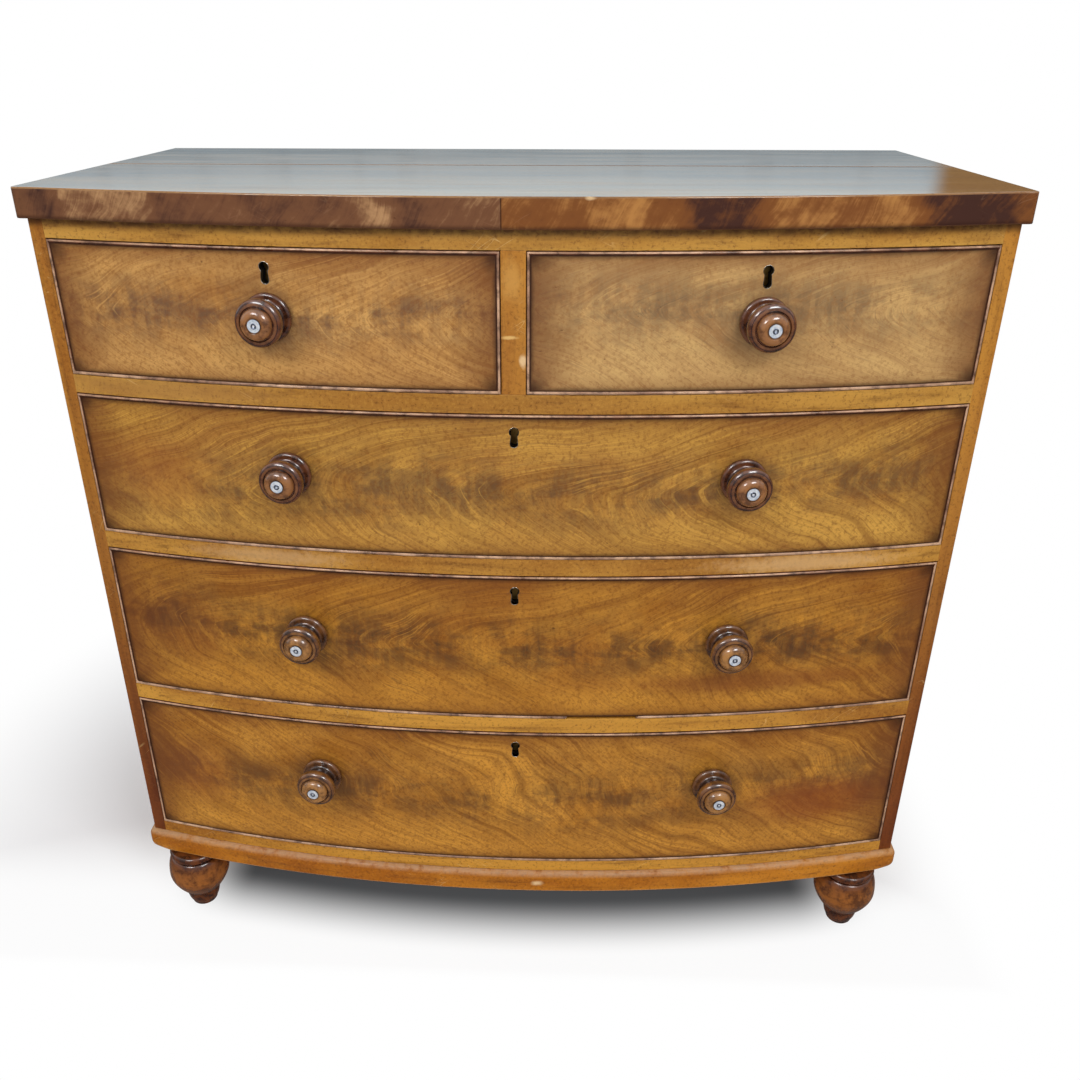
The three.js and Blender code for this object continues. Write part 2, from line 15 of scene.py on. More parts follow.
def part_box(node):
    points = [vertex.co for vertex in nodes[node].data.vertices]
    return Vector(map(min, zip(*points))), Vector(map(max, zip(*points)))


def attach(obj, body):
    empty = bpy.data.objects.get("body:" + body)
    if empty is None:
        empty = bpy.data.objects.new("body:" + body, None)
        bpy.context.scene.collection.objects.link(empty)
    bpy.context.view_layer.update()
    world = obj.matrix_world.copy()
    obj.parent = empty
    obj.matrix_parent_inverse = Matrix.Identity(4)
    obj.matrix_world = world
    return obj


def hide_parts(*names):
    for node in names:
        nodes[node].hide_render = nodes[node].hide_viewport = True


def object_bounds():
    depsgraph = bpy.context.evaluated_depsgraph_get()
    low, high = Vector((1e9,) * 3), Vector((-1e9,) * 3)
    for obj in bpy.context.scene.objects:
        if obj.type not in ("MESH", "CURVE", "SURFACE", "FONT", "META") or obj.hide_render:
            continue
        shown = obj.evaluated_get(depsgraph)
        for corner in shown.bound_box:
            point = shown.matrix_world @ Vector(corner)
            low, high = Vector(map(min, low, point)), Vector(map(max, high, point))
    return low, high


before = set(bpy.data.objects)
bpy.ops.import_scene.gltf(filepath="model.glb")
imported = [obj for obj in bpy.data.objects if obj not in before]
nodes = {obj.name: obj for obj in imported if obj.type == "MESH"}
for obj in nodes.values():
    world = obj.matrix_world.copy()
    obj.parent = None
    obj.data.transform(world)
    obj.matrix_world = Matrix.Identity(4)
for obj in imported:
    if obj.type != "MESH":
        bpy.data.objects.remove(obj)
cad_low, cad_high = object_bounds()

# The bow: one arc from corner to corner of the carcass
CASE_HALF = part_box("side_right")[1].x
INNER_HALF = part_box("side_right")[0].x
BACK_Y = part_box("back_panel")[1].y
SIDE_DEPTH = 0.4995
BOW_RISE = 0.0645
BOW_RADIUS = (CASE_HALF**2 + BOW_RISE**2) / (2 * BOW_RISE)
BOW_CENTRE_Y = BACK_Y + BOW_RADIUS - BOW_RISE - SIDE_DEPTH

# Woodwork of the case
CASE_EASE = 0.0006
SUPPORT_SHARE = 0.6
FIT_GAP = 0.0003
RAIL_DEPTH = 0.060
RAIL_BACK_Y = BACK_Y + RAIL_DEPTH - SIDE_DEPTH
BACK_THICKNESS = 0.0093
BACK_INSIDE_Y = BACK_Y - BACK_THICKNESS
DIVIDER_HALF = 0.0135
BOARD_STEP = 0.012
SIDE_SHORT = 0.0002
RAIL_SET_BACK = 0.0002
RAIL_LET_IN = 0.002

# Slots in the rails for the lock bolts
BOLT_TRAVEL = 0.008
BOLT_ROOM = 0.0008

# Drawer stops, on the rails
FRONT_THICKNESS = 0.022
STOP_WIDTH = 0.030
STOP_DEPTH = 0.018
STOP_HEIGHT = 0.005
LONG_STOP_X = 0.200
SHORT_STOP_STEP = 0.120

# Top board
TOP_OVERHANG = 0.0085
TOP_RETURN = 0.0195
TOP_EASE = 0.0017
TOP_CORNER = 0.008

# Plinth
PLINTH_PROUD = 0.0075
PLINTH_WIDTH = 0.090
PLINTH_TOP_ROUND = 0.0075
PLINTH_LOW_ROUND = 0.0045
PLINTH_CORNER_ROUND = 0.009
CORNER_WEAR = 0.009
CORNER_WEAR_REACH = 0.016
PLINTH_SUPPORT = 0.001

# Cock beads
BEAD_WIDTH = 0.0034
BEAD_PROUD = 0.0016
BEAD_DEPTH = 0.0067
BEAD_LOSS_START = 0.066
BEAD_LOSS_END = 0.158
BEAD_BREAK_SLANT = 0.004
BEAD_UNEVEN = 0.00012
BEAD_CROWN_SHARE = 0.9
BEAD_MITRE_SHARE = 1.5

# Waves that make a bead uneven: each one's rate, how the seed turns it, and its size
WAVES = ((11.3, 1.0, 1.0), (29.7, 2.1, 0.6), (71.9, 3.7, 0.35))

# Veneer on the drawer fronts
VENEER_PROUD = 0.00022
VENEER_BACK = 0.0004
VENEER_TUCK = 0.0002
VENEER_STEP_X = 0.016
VENEER_STEP_Z = 0.012
VENEER_NEAR_SHARE = 0.12
VENEER_FAR_SHARE = 0.76
VENEER_EDGE_SHARES = (0.20, 0.12, 0.08, 0.055, 0.035, 0.022, 0.012, 0.006, 0.002)
SHORT_BAND_LIFT = 0.010
KEYHOLE_DROP = 0.027
KEYHOLE_HEAD = 0.006
KEYHOLE_SHANK = 0.004
KEYHOLE_FOOT = 0.005
KEYHOLE_HEIGHT = 0.025
LINING_WALL = 0.0008
LINING_DEPTH = 0.006
LINING_PROUD = 0.00045

# Turned knobs, measured outwards from the drawer front
LONG_KNOB_X = 0.264
SHORT_KNOB_X = 0.2685
FLANGE_RADIUS = 0.0275
FLANGE_THICKNESS = 0.0085
NECK_RADIUS = 0.0182
NECK_HEIGHT = 0.0138
RIM_BASE = 0.0208
RIM_FOOT = 0.0213
RIM_WIDEST = 0.0305
RIM_RADIUS = 0.0264
RIM_TOP = 0.0360
GROOVE_RADIUS = 0.0188
GROOVE_FLOOR = 0.0346
DOME_RADIUS = 0.0178
DOME_BASE = 0.0352
KNOB_HEIGHT = 0.0437
SOCKET_RADIUS = 0.0094
SOCKET_DEPTH = 0.0016
SOCKET_LIP = 0.0004
FLANGE_ROUND = 0.0035
TURNED_STEP = 0.0002
DISC_RADIUS = 0.0076
DISC_PROUD = 0.0005
DISC_SINK = 0.0004
DISC_ROUND = 0.0006
DISC_CROWN = 0.00005
DISC_CLEAN_SHARE = 0.86
PIN_RADIUS = 0.0033
PIN_PROUD = 0.0007
PIN_SINK = 0.0006
PIN_SEAT = 0.0012
PIN_ROUND = 0.0007
PIN_RIM_DROP = 0.0001
PIN_HOLLOW = 0.0008
PIN_RIM_SHARE = 0.55
PIN_FLOOR_SHARE = 0.3
KNOB_SIDES = 72

# Turned feet, measured up from the floor
FOOT_HEIGHT = 0.107
PAD_FOOT_RADIUS = 0.0185
PAD_TOP_RADIUS = 0.0245
PAD_HEIGHT = 0.0255
BUN_SPREAD = 0.031
BUN_SPREAD_HEIGHT = 0.033
BUN_RADIUS = 0.0435
BUN_FLANK = 0.050
BUN_WIDEST = 0.063
BUN_TOP = 0.094
BUN_SHOULDER = 0.034
COLLAR_RADIUS = 0.038
COLLAR_ROUND = 0.004
COLLAR_GAP = 0.0012
PAD_ROUND = 0.002
PAD_EDGE = 0.004
PAD_BEND = 0.013
PAD_LIP = 0.0006
BUN_STEP = 0.0004
SHOULDER_LIP = 0.0005
SHOULDER_COVE = 0.002
FOOT_SIDES = 72

# The studio's floor and sky, and how meshes are smoothed
FLOOR_REACH = 30.0
FLOOR_NEAR = 0.62
FLOOR_FAR = 1.15
WHITE = (1.0, 1.0, 1.0, 1.0)
# The floor's painted shadow tone under the chest, and the dim tone polish sees the floor in
FLOOR_PAINTED_SHADOW = (0.075, 0.077, 0.08, 1.0)
FLOOR_IN_SHINE = (0.20, 0.18, 0.17, 1.0)
# Where the painted shadow starts under the chest's front and sides, and how far in it takes to deepen
SHADE_FRONT = -0.293
SHADE_SIDE = 0.55
SHADE_REACH = 0.113
SHADE_SIDE_REACH = 0.13
# Where the camera sees the floor as the lamps light it, with its real shadow, and how much, in front and to
# the right, it sees the painted shadow alone, glowing, white beyond it
LIT_FLOOR_BACK = -0.02
LIT_FLOOR_FRONT = -0.20
LIT_FLOOR_SHARE = 0.88
LIT_FLOOR_LEFT = 0.42
LIT_FLOOR_RIGHT = 0.72
CLEAR_FLOOR_BACK = -0.23
CLEAR_FLOOR_FRONT = -0.34
WORLD_LEVEL = 0.50
SKY_TOP = 0.2
SKY_SHARES = (
    (0.25, (0.16, 0.25, 0.31)), (0.39, (0.22, 0.33, 0.39)), (0.48, (0.40, 0.57, 0.68)),
    (0.60, (0.74, 0.94, 1.0)), (1.0, (1.0, 1.0, 1.0)),
)
BAR_TONE = (0.20, 0.31, 0.38, 1.0)
ASIDE_TONE = (0.24, 0.15, 0.07, 1.0)
FACING_TONE = (0.40, 0.40, 0.41, 1.0)
EVEN_TONE = (0.97, 0.98, 1.0, 1.0)
SMOOTH_ANGLE = math.radians(38)
MERGE_DISTANCE = 2e-6

# Lamps: place, the point that each is aimed at, width, height, watts and tint; the two panels share one
RIGHT_WINDOW = ((1.25, -2.0, 2.75), (0.0, -0.2, 0.5), 1.1, 0.8, 28.0, (0.98, 0.98, 1.0))
LEFT_WINDOW = ((-1.3, -2.0, 2.6), (0.0, -0.2, 0.5), 1.1, 0.8, 22.0, (0.99, 0.98, 1.0))
FRONT_LIGHT = ((0.1, -3.6, 1.9), (0.0, -0.2, 0.45), 3.0, 1.8, 18.0, (1.0, 0.99, 0.97))
PANEL_X = 1.1
PANEL_Y = -2.1
PANEL_Z = 2.3
PANEL = ((0.0, -0.25, 0.7), 0.9, 0.35, 9.0, (0.97, 0.98, 1.0))

# The camera: millimetres for its sensor and lens
CAMERA_PLACE = (0.0523, -1.3225, 1.1739)
CAMERA_TILT = math.radians(64.04)
CAMERA_TURN = math.radians(2.261)
SENSOR_WIDTH = 36
LENS_LENGTH = 33.078
LENS_SHIFT = 0.01546


def bow_y(x, proud):
    """The y of the bowed front at x: the arc's centre less the root of its radius squared less x squared.

    proud is how far ahead of the carcass's own arc the surface stands.
    """
    return BOW_CENTRE_Y - np.sqrt((BOW_RADIUS + proud) ** 2 - np.square(x))


def wander(along, seed):
    """A smooth uneven curve between about -1 and 1: sine waves whose lengths share no common measure."""
    total = sum(size * np.sin(along * rate + turn * seed) for rate, turn, size in WAVES)
    return total / sum(size for rate, turn, size in WAVES)


def quarter(steps):
    """Angles from zero to a right angle, in equal steps."""
    return np.linspace(0, math.pi / 2, steps + 1)


def grid_faces(rows, columns, close_rows=False):
    """Four-cornered faces between neighbouring points of a grid of closed rows, which may close both ways."""
    row = np.arange(rows if close_rows else rows - 1)[:, None]
    column = np.arange(columns)[None, :]
    next_row = (row + 1) % rows
    next_column = (column + 1) % columns
    corners = (
        row * columns + column,
        row * columns + next_column,
        next_row * columns + next_column,
        next_row * columns + column,
    )
    return np.stack(corners, axis=-1).reshape(-1, 4)


def add_piece(name, points, faces, material, body, replaced=(), slot=None, measures=None):
    """Makes a mesh of points and faces, merges doubled points, turns its faces outwards and shades it smooth.

    measures holds named values at the points, which materials read as attributes.
    """
    mesh = bpy.data.meshes.new(name)
    mesh.from_pydata(points.reshape(-1, 3).tolist(), [], faces.tolist())
    for label, values in (measures or {}).items():
        layer = mesh.attributes.new(label, "FLOAT", "POINT")
        layer.data.foreach_set("value", np.asarray(values, np.float32).ravel())
    work = bmesh.new()
    work.from_mesh(mesh)
    bmesh.ops.remove_doubles(work, verts=work.verts, dist=MERGE_DISTANCE)
    bmesh.ops.dissolve_degenerate(work, edges=work.edges, dist=MERGE_DISTANCE / 2)
    bmesh.ops.recalc_face_normals(work, faces=work.faces)
    work.to_mesh(mesh)
    work.free()
    mesh.shade_smooth()
    mesh.set_sharp_from_angle(angle=SMOOTH_ANGLE)
    mesh.materials.append(material)
    piece = bpy.data.objects.new(name, mesh)
    bpy.context.scene.collection.objects.link(piece)
    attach(piece, body)
    if replaced:
        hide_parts(*replaced)
    return piece


def close_ends(rows):
    """Adds a last row at each end of a stack of rings, all at that ring's middle, which closes its ends."""
    first = np.repeat(rows[:1].mean(axis=1, keepdims=True), rows.shape[1], axis=1)
    last = np.repeat(rows[-1:].mean(axis=1, keepdims=True), rows.shape[1], axis=1)
    return np.concatenate([first, rows, last])


def section_ring(support, splits):
    """The section of a board as corner numbers and offsets: four quarter rounds joined by flats.

    Each corner has a support point on either side, so that the flats stay flat when shaded.
    splits adds points up the front flat, from the lower corner to the upper one.
    Returns the corner of each point (0 front low, 1 back low, 2 back high, 3 front high),
    its outward normal in y and z, its shift along the flat, and its share of the way up the front.
    """
    corner, normal, shift, share = [], [], [], []
    starts = (math.pi, 1.5 * math.pi, 0.0, 0.5 * math.pi)
    for number, start in enumerate(starts):
        turns = start + quarter(4)
        around = np.stack([np.cos(turns), np.sin(turns)], axis=-1)
        along = np.stack([-np.sin(turns), np.cos(turns)], axis=-1)
        corner += [number] * 7
        normal += [around[0], *around, around[-1]]
        shift += [-along[0] * support, *np.zeros((5, 2)), along[-1] * support]
        share += [-1.0] * 7
    for part in np.linspace(1, 0, splits + 2)[1:-1]:
        corner.append(3)
        normal.append(np.array([-1.0, 0.0]))
        shift.append(np.zeros(2))
        share.append(part)
    return np.array(corner), np.array(normal), np.array(shift), np.array(share)


def board(name, left, right, front, back, low, high, ease, material, body, splits=3, turned=0.0, **told):
    """A board whose section, a rectangle with rounded corners, is carried along x from left to right.

    front and back are functions of x that give the y of its front and back faces.
    Near each end the section shrinks by the quarter round, so the ends are rounded the same way.
    With turned, the front face also turns back at each end on a quarter circle of that radius.
    """
    support = ease * SUPPORT_SHARE
    corner, normal, shift, share = section_ring(support, splits)
    turns = quarter(4)
    count = max(2, int(round((right - left) / BOARD_STEP)) + 1)
    middle = np.linspace(left + ease + support, right - ease - support, count)
    if turned:
        dense = turned * (1 - np.cos(quarter(12)))
        dense = dense[dense > ease + support]
        middle = np.unique(np.round(np.concatenate([left + dense, middle, right - dense]), 7))
    stations = np.concatenate([
        left + ease * (1 - np.cos(turns)), middle, right - ease * (1 - np.cos(turns[::-1])),
    ])
    spread = np.concatenate([np.sin(turns), np.ones(len(middle)), np.sin(turns[::-1])])
    near = front(stations)[:, None] + ease
    if turned:
        short = np.clip(turned - np.minimum(stations - left, right - stations), 0, turned)[:, None]
        near = near + turned - np.sqrt(turned ** 2 - short ** 2)
    far = back(stations)[:, None] - ease
    inner_y = np.where(np.isin(corner, (1, 2))[None, :], far, near)
    inner_z = np.where(np.isin(corner, (2, 3)), high - ease, low + ease)[None, :]
    climb = np.where(share >= 0, share, 0.0)
    inner_z = np.where(share >= 0, low + ease + climb * (high - low - 2 * ease), inner_z)
    y = inner_y + ease * normal[:, 0] * spread[:, None] + shift[:, 0]
    z = inner_z + ease * normal[:, 1] * spread[:, None] + shift[:, 1]
    x = np.repeat(stations[:, None], len(corner), axis=1)
    rows = close_ends(np.stack([x, y, z], axis=-1))
    rim = np.minimum(rows[..., 2] - low, high - rows[..., 2])
    diagonal = np.abs(normal[:, 0] * normal[:, 1]) * 2
    edge = np.concatenate([[diagonal], np.repeat(diagonal[None, :], len(stations), axis=0), [diagonal]])
    return add_piece(
        name, rows, grid_faces(len(rows), len(corner)), material, body,
        measures={"rim": rim, "edge": edge}, **told,
    )


def bow_front(proud):
    """The bowed face at that distance ahead of the carcass's arc, as a function of x."""
    return lambda x: bow_y(x, proud)


def straight(y):
    """A flat face at that y, as a function of x."""
    return lambda x: np.full(np.shape(x), y)


TOP_TURN = CASE_HALF + TOP_OVERHANG - TOP_RETURN
TOP_CORNER_Y = float(bow_y(TOP_TURN, TOP_OVERHANG))


def top_front(x):
    """The front of the top board: the bow, and near each end a short straight return at one y."""
    return bow_y(np.minimum(np.abs(x), TOP_TURN), TOP_OVERHANG)


def revolve(profile, sides):
    """Turns a profile of (radius, height) points about the z axis: each becomes a ring of equal steps."""
    angles = np.linspace(0, 2 * math.pi, sides, endpoint=False)
    radius = profile[:, 0][:, None]
    x = radius * np.cos(angles)
    y = radius * np.sin(angles)
    z = np.repeat(profile[:, 1][:, None], sides, axis=1)
    return np.stack([x, y, z], axis=-1)


def round_part(radius, height, wide, tall, start, end, steps):
    """Points on part of an ellipse about (radius, height), wide and tall from it, between two angles."""
    turns = np.radians(np.linspace(start, end, steps + 1))
    return np.stack([radius + wide * np.cos(turns), height + tall * np.sin(turns)], axis=-1)


def eased_curve(start, bend, end, steps):
    """Points on the curve that leaves start towards bend and comes into end from it."""
    share = np.linspace(0, 1, steps + 1)[:, None]
    start, bend, end = np.array(start), np.array(bend), np.array(end)
    return start * (1 - share) ** 2 + bend * 2 * share * (1 - share) + end * share**2


def knob_profile():
    """The knob from its flange, over the neck, rim, groove and dome, to the socket of its disc."""
    flange_half = FLANGE_THICKNESS / 2
    flange_out = FLANGE_RADIUS - FLANGE_ROUND
    cove = (NECK_RADIUS + FLANGE_ROUND, FLANGE_THICKNESS - TURNED_STEP)
    neck = (NECK_RADIUS, NECK_HEIGHT)
    rim_out, rim_rise = RIM_RADIUS - RIM_FOOT, RIM_WIDEST - RIM_BASE
    top_out, top_rise = RIM_RADIUS - GROOVE_RADIUS, RIM_TOP - RIM_WIDEST
    socket_floor = KNOB_HEIGHT - SOCKET_DEPTH
    return np.concatenate([
        [[0.0, FIT_GAP]],
        round_part(flange_out, flange_half, FLANGE_ROUND, flange_half - FIT_GAP / 2, -90, 90, 12),
        eased_curve(cove, (NECK_RADIUS, FLANGE_THICKNESS), neck, 6),
        eased_curve(neck, (NECK_RADIUS, RIM_BASE), (RIM_FOOT, RIM_BASE), 6)[1:],
        round_part(RIM_FOOT, RIM_WIDEST, rim_out, rim_rise, -90, 0, 10)[1:],
        round_part(GROOVE_RADIUS, RIM_WIDEST, top_out, top_rise, 0, 84, 16)[1:],
        [[GROOVE_RADIUS, GROOVE_FLOOR], [DOME_RADIUS, GROOVE_FLOOR]],
        round_part(SOCKET_RADIUS, DOME_BASE, DOME_RADIUS - SOCKET_RADIUS, KNOB_HEIGHT - DOME_BASE, 0, 90, 14),
        [[SOCKET_RADIUS - SOCKET_LIP, KNOB_HEIGHT - TURNED_STEP], [SOCKET_RADIUS - SOCKET_LIP, socket_floor]],
        [[0.0, socket_floor]],
    ])


def disc_profile():
    """A thin flat disc with a softened rim, in the knob's socket and a little proud of it."""
    low = KNOB_HEIGHT - SOCKET_DEPTH - TURNED_STEP
    high = KNOB_HEIGHT + DISC_PROUD - DISC_SINK
    return np.concatenate([
        [[0.0, low], [DISC_RADIUS, low]],
        round_part(DISC_RADIUS - DISC_ROUND, high - DISC_ROUND, DISC_ROUND, DISC_ROUND, 0, 90, 4),
        [[PIN_RADIUS + PIN_SEAT, high + DISC_CROWN], [0.0, high + DISC_CROWN]],
    ])


def pin_profile():
    """The head of the metal pin through the disc: a low button with a hollow middle."""
    low = KNOB_HEIGHT - SOCKET_DEPTH
    high = KNOB_HEIGHT + DISC_PROUD + PIN_PROUD - PIN_SINK
    hollow = high - PIN_HOLLOW
    rim = (PIN_RADIUS * PIN_RIM_SHARE, high - PIN_RIM_DROP)
    return np.concatenate([
        [[0.0, low], [PIN_RADIUS, low]],
        round_part(PIN_RADIUS - PIN_ROUND, high - PIN_ROUND, PIN_ROUND, PIN_ROUND, 0, 90, 5),
        eased_curve(rim, (PIN_RADIUS * PIN_FLOOR_SHARE, hollow), (0.0, hollow), 5),
    ])


def flank_curve(start, first, second, end, steps):
    """Points on the cubic curve that leaves start towards first and comes into end from second."""
    share = np.linspace(0, 1, steps + 1)[:, None]
    rest = 1 - share
    start, first, second, end = (np.array(point) for point in (start, first, second, end))
    return start * rest**3 + 3 * first * share * rest**2 + 3 * second * share**2 * rest + end * share**3


def foot_profile():
    """The foot from its pad on the floor, over the bun and its shoulder, to the collar under the plinth."""
    collar_low = BUN_TOP + COLLAR_GAP
    collar_high = FOOT_HEIGHT - TURNED_STEP
    half = (collar_high - collar_low) / 2
    pad_in = PAD_FOOT_RADIUS - PAD_ROUND
    pad_edge = (PAD_FOOT_RADIUS + TURNED_STEP, PAD_EDGE)
    pad_top = (PAD_TOP_RADIUS - PAD_LIP, PAD_HEIGHT)
    bun_foot = (PAD_TOP_RADIUS + BUN_STEP, PAD_HEIGHT)
    spread, flank, widest = (BUN_SPREAD, BUN_SPREAD_HEIGHT), (BUN_RADIUS, BUN_FLANK), (BUN_RADIUS, BUN_WIDEST)
    cove = BUN_SHOULDER - SHOULDER_COVE
    return np.concatenate([
        [[0.0, 0.0], [pad_in, 0.0]],
        round_part(pad_in, PAD_ROUND, PAD_ROUND, PAD_ROUND, -90, 0, 4)[1:],
        eased_curve(pad_edge, (PAD_TOP_RADIUS, PAD_BEND), pad_top, 8),
        flank_curve(bun_foot, spread, flank, widest, 22),
        round_part(BUN_SHOULDER, BUN_WIDEST, BUN_RADIUS - BUN_SHOULDER, BUN_TOP - BUN_WIDEST, 4, 90, 18),
        eased_curve((BUN_SHOULDER - SHOULDER_LIP, BUN_TOP), (cove, BUN_TOP), (cove, collar_low), 3),
        round_part(COLLAR_RADIUS - COLLAR_ROUND, collar_low + half, COLLAR_ROUND, half, -80, 90, 14),
        [[0.0, collar_high]],
    ])


def turned_piece(name, profile, sides, place, material, body, **told):
    """A profile turned about its axis and set in place by a matrix. Its points carry height and radius."""
    rings = revolve(profile, sides)
    spin = np.array(place)
    points = rings @ spin[:3, :3].T + spin[:3, 3]
    radius, height = (np.repeat(part[:, None], sides, axis=1) for part in profile.T)
    faces = grid_faces(len(profile), sides)
    measures = {"height": height, "radius": radius}
    return add_piece(name, points, faces, material, body, measures=measures, **told)


def seat_on_bow(x, z):
    """The matrix that stands a turned piece square to the bow at x and z, pointing out of the front."""
    turn = Matrix.Rotation(math.asin(x / BOW_RADIUS), 4, "Z")
    out = Matrix.Rotation(math.pi / 2, 4, "X")
    return Matrix.Translation((x, float(bow_y(x, 0.0)), z)) @ turn @ out


def keyhole_line(steps):
    """The keyhole's outline, anticlockwise: a round foot, sides that draw in to a shank, and a round head."""
    head = KEYHOLE_HEIGHT / 2 - KEYHOLE_HEAD
    foot = KEYHOLE_FOOT - KEYHOLE_HEIGHT / 2
    waist = math.asin(KEYHOLE_SHANK / KEYHOLE_HEAD)
    low = round_part(0, foot, KEYHOLE_FOOT, KEYHOLE_FOOT, 180, 360, steps)
    high_start = math.degrees(waist) - 90
    high = round_part(0, head, KEYHOLE_HEAD, KEYHOLE_HEAD, high_start, 180 - high_start, 2 * steps)
    return np.concatenate([low, high])


def even_line(points, count):
    """The same closed line with count points at equal steps along it."""
    closed = np.concatenate([points, points[:1]])
    steps = np.hypot(*np.diff(closed, axis=0).T)
    travelled = np.concatenate([[0.0], np.cumsum(steps)])
    wanted = np.linspace(0, travelled[-1], count, endpoint=False)
    return np.stack([np.interp(wanted, travelled, closed[:, axis]) for axis in (0, 1)], axis=-1)


def veneer_sheet(name, left, right, low, high, hole_x, hole_z, material, body):
    """The figured sheet on a drawer front, with the keyhole cut through it.

    The face is a fan of lines from the keyhole's outline to the sheet's edge, matched by angle about
    the keyhole, with closer steps near both. The same points a sheet's thickness behind make the back,
    and the first and last rows of both are joined. rim is each point's distance from the sheet's edge.
    """
    hole = even_line(keyhole_line(8), 120)
    angles = np.sort(np.arctan2(hole[:, 1], hole[:, 0]))
    places = [(x, z) for x in (left, right) for z in (low, high, *np.arange(low, high, VENEER_STEP_Z))]
    places += [(x, z) for x in np.arange(left, right, VENEER_STEP_X) for z in (low, high)]
    extra = [math.atan2(z - hole_z, x - hole_x) for x, z in places]
    angles = np.unique(np.round(np.concatenate([angles, extra]), 5))
    dx, dz = np.cos(angles), np.sin(angles)
    reach_x = np.where(dx > 0, right - hole_x, hole_x - left) / np.maximum(np.abs(dx), 1e-9)
    reach_z = np.where(dz > 0, high - hole_z, hole_z - low) / np.maximum(np.abs(dz), 1e-9)
    outer = np.minimum(reach_x, reach_z)
    order = np.argsort(np.arctan2(hole[:, 1], hole[:, 0]))
    hole_angle = np.arctan2(hole[order, 1], hole[order, 0])
    hole_reach = np.hypot(hole[order, 0], hole[order, 1])
    inner = np.interp(angles, hole_angle, hole_reach, period=2 * math.pi)
    near = np.linspace(0, 1, 9)[1:-1] ** 2 * VENEER_NEAR_SHARE
    between = np.linspace(VENEER_NEAR_SHARE, VENEER_FAR_SHARE, 18)
    share = np.concatenate([[0.0], near, between, 1 - np.array(VENEER_EDGE_SHARES), [1.0]])
    reach = inner[None, :] + (outer - inner)[None, :] * share[:, None]
    x = hole_x + reach * dx
    z = hole_z + reach * dz
    face = np.stack([x, bow_y(x, VENEER_PROUD), z], axis=-1)
    back = np.stack([x, bow_y(x, -VENEER_BACK), z], axis=-1)
    rows = np.concatenate([face, back[::-1]])
    rim_x = np.minimum(rows[..., 0] - left, right - rows[..., 0])
    rim_z = np.minimum(rows[..., 2] - low, high - rows[..., 2])
    rim = np.minimum(rim_x, rim_z)
    measures = {"rim": rim, "corner": np.hypot(rim_x, rim_z), "ends": rim_x}
    faces = grid_faces(len(rows), len(angles), close_rows=True)
    return add_piece(name, rows, faces, material, body, slot="front_veneer", measures=measures)


def bead_section():
    """The cock bead's section as (distance in from its outer edge, how far proud): half round on a strip."""
    half = BEAD_WIDTH / 2
    rise = half * BEAD_CROWN_SHARE
    crown = round_part(half, BEAD_PROUD - rise, half, rise, 180, 0, 12)
    return np.concatenate([[[0.0, -BEAD_DEPTH]], crown, [[BEAD_WIDTH, -BEAD_DEPTH]]])


def bead_frame(name, left, right, low, high, material, body, replaced, seed, loss=None):
    """The bead carried round the drawer's edge, mitred at the corners, or open where a length is lost.

    A station holds a place on the outer edge and the direction inwards, which at a corner is the diagonal.
    The crown rises and falls a little along the way, as old beads do.
    """
    inset = BEAD_WIDTH * BEAD_MITRE_SHARE
    xs = np.linspace(left + inset, right - inset, max(4, int((right - left) / BOARD_STEP)))
    zs = np.linspace(low + inset, high - inset, max(4, int((high - low) / BOARD_STEP)))
    bottom = np.stack([xs, np.full_like(xs, low), xs * 0, xs * 0 + 1], axis=-1)
    side = np.stack([np.full_like(zs, right), zs, zs * 0 - 1, zs * 0], axis=-1)
    top = np.stack([xs[::-1], np.full_like(xs, high), xs * 0, xs * 0 - 1], axis=-1)
    other = np.stack([np.full_like(zs, left), zs[::-1], zs * 0 + 1, zs * 0], axis=-1)
    corners = np.array([
        [right, low, -1, 1], [right, high, -1, -1], [left, high, 1, -1], [left, low, 1, 1],
    ])
    stations = np.concatenate([
        bottom, corners[:1], side, corners[1:2], top, corners[2:3], other, corners[3:4],
    ])
    if loss:
        start = np.array([[loss[1], low, 0, 1]])
        end = np.array([[loss[0], low, 0, 1]])
        after = bottom[bottom[:, 0] > loss[1] + BEAD_BREAK_SLANT]
        before = bottom[bottom[:, 0] < loss[0] - BEAD_BREAK_SLANT]
        stations = np.concatenate([
            start, after, stations[len(bottom):], before, end,
        ])
    section = bead_section()
    travelled = np.cumsum(np.hypot(*np.diff(stations[:, :2], axis=0, prepend=stations[:1, :2]).T))
    uneven = BEAD_UNEVEN * wander(travelled, seed)[:, None]
    x = stations[:, 0][:, None] + stations[:, 2][:, None] * section[:, 0]
    z = stations[:, 1][:, None] + stations[:, 3][:, None] * section[:, 0]
    proud = section[:, 1][None, :] - np.abs(uneven) * (section[:, 1][None, :] > 0)
    if loss:
        slant = BEAD_BREAK_SLANT * (section[:, 0] / BEAD_WIDTH - 0.5)
        x[0] += slant
        x[-1] += slant * 0.6
    rows = np.stack([x, bow_y(x, proud), z], axis=-1)
    crown = section[:, 0][None, :] / BEAD_WIDTH
    # Where the painted highlight falls on each bead: most of the way across the lower one, the upper half of
    # the top one, and the crown of the sides
    level = stations[:, 3][:, None]
    below = np.where(level > 0, 0.45 + 0.45 * crown, 1 - crown)
    lift = np.where(level == 0, 0.75 - 0.9 * np.abs(crown - 0.5), below)
    if loss:
        rows = close_ends(rows)
        lift = np.concatenate([lift[:1], lift, lift[-1:]])
    faces = grid_faces(len(rows), len(section), close_rows=not loss)
    return add_piece(
        name, rows, faces, material, body, replaced=replaced, slot="cock_bead", measures={"lift": lift},
    )


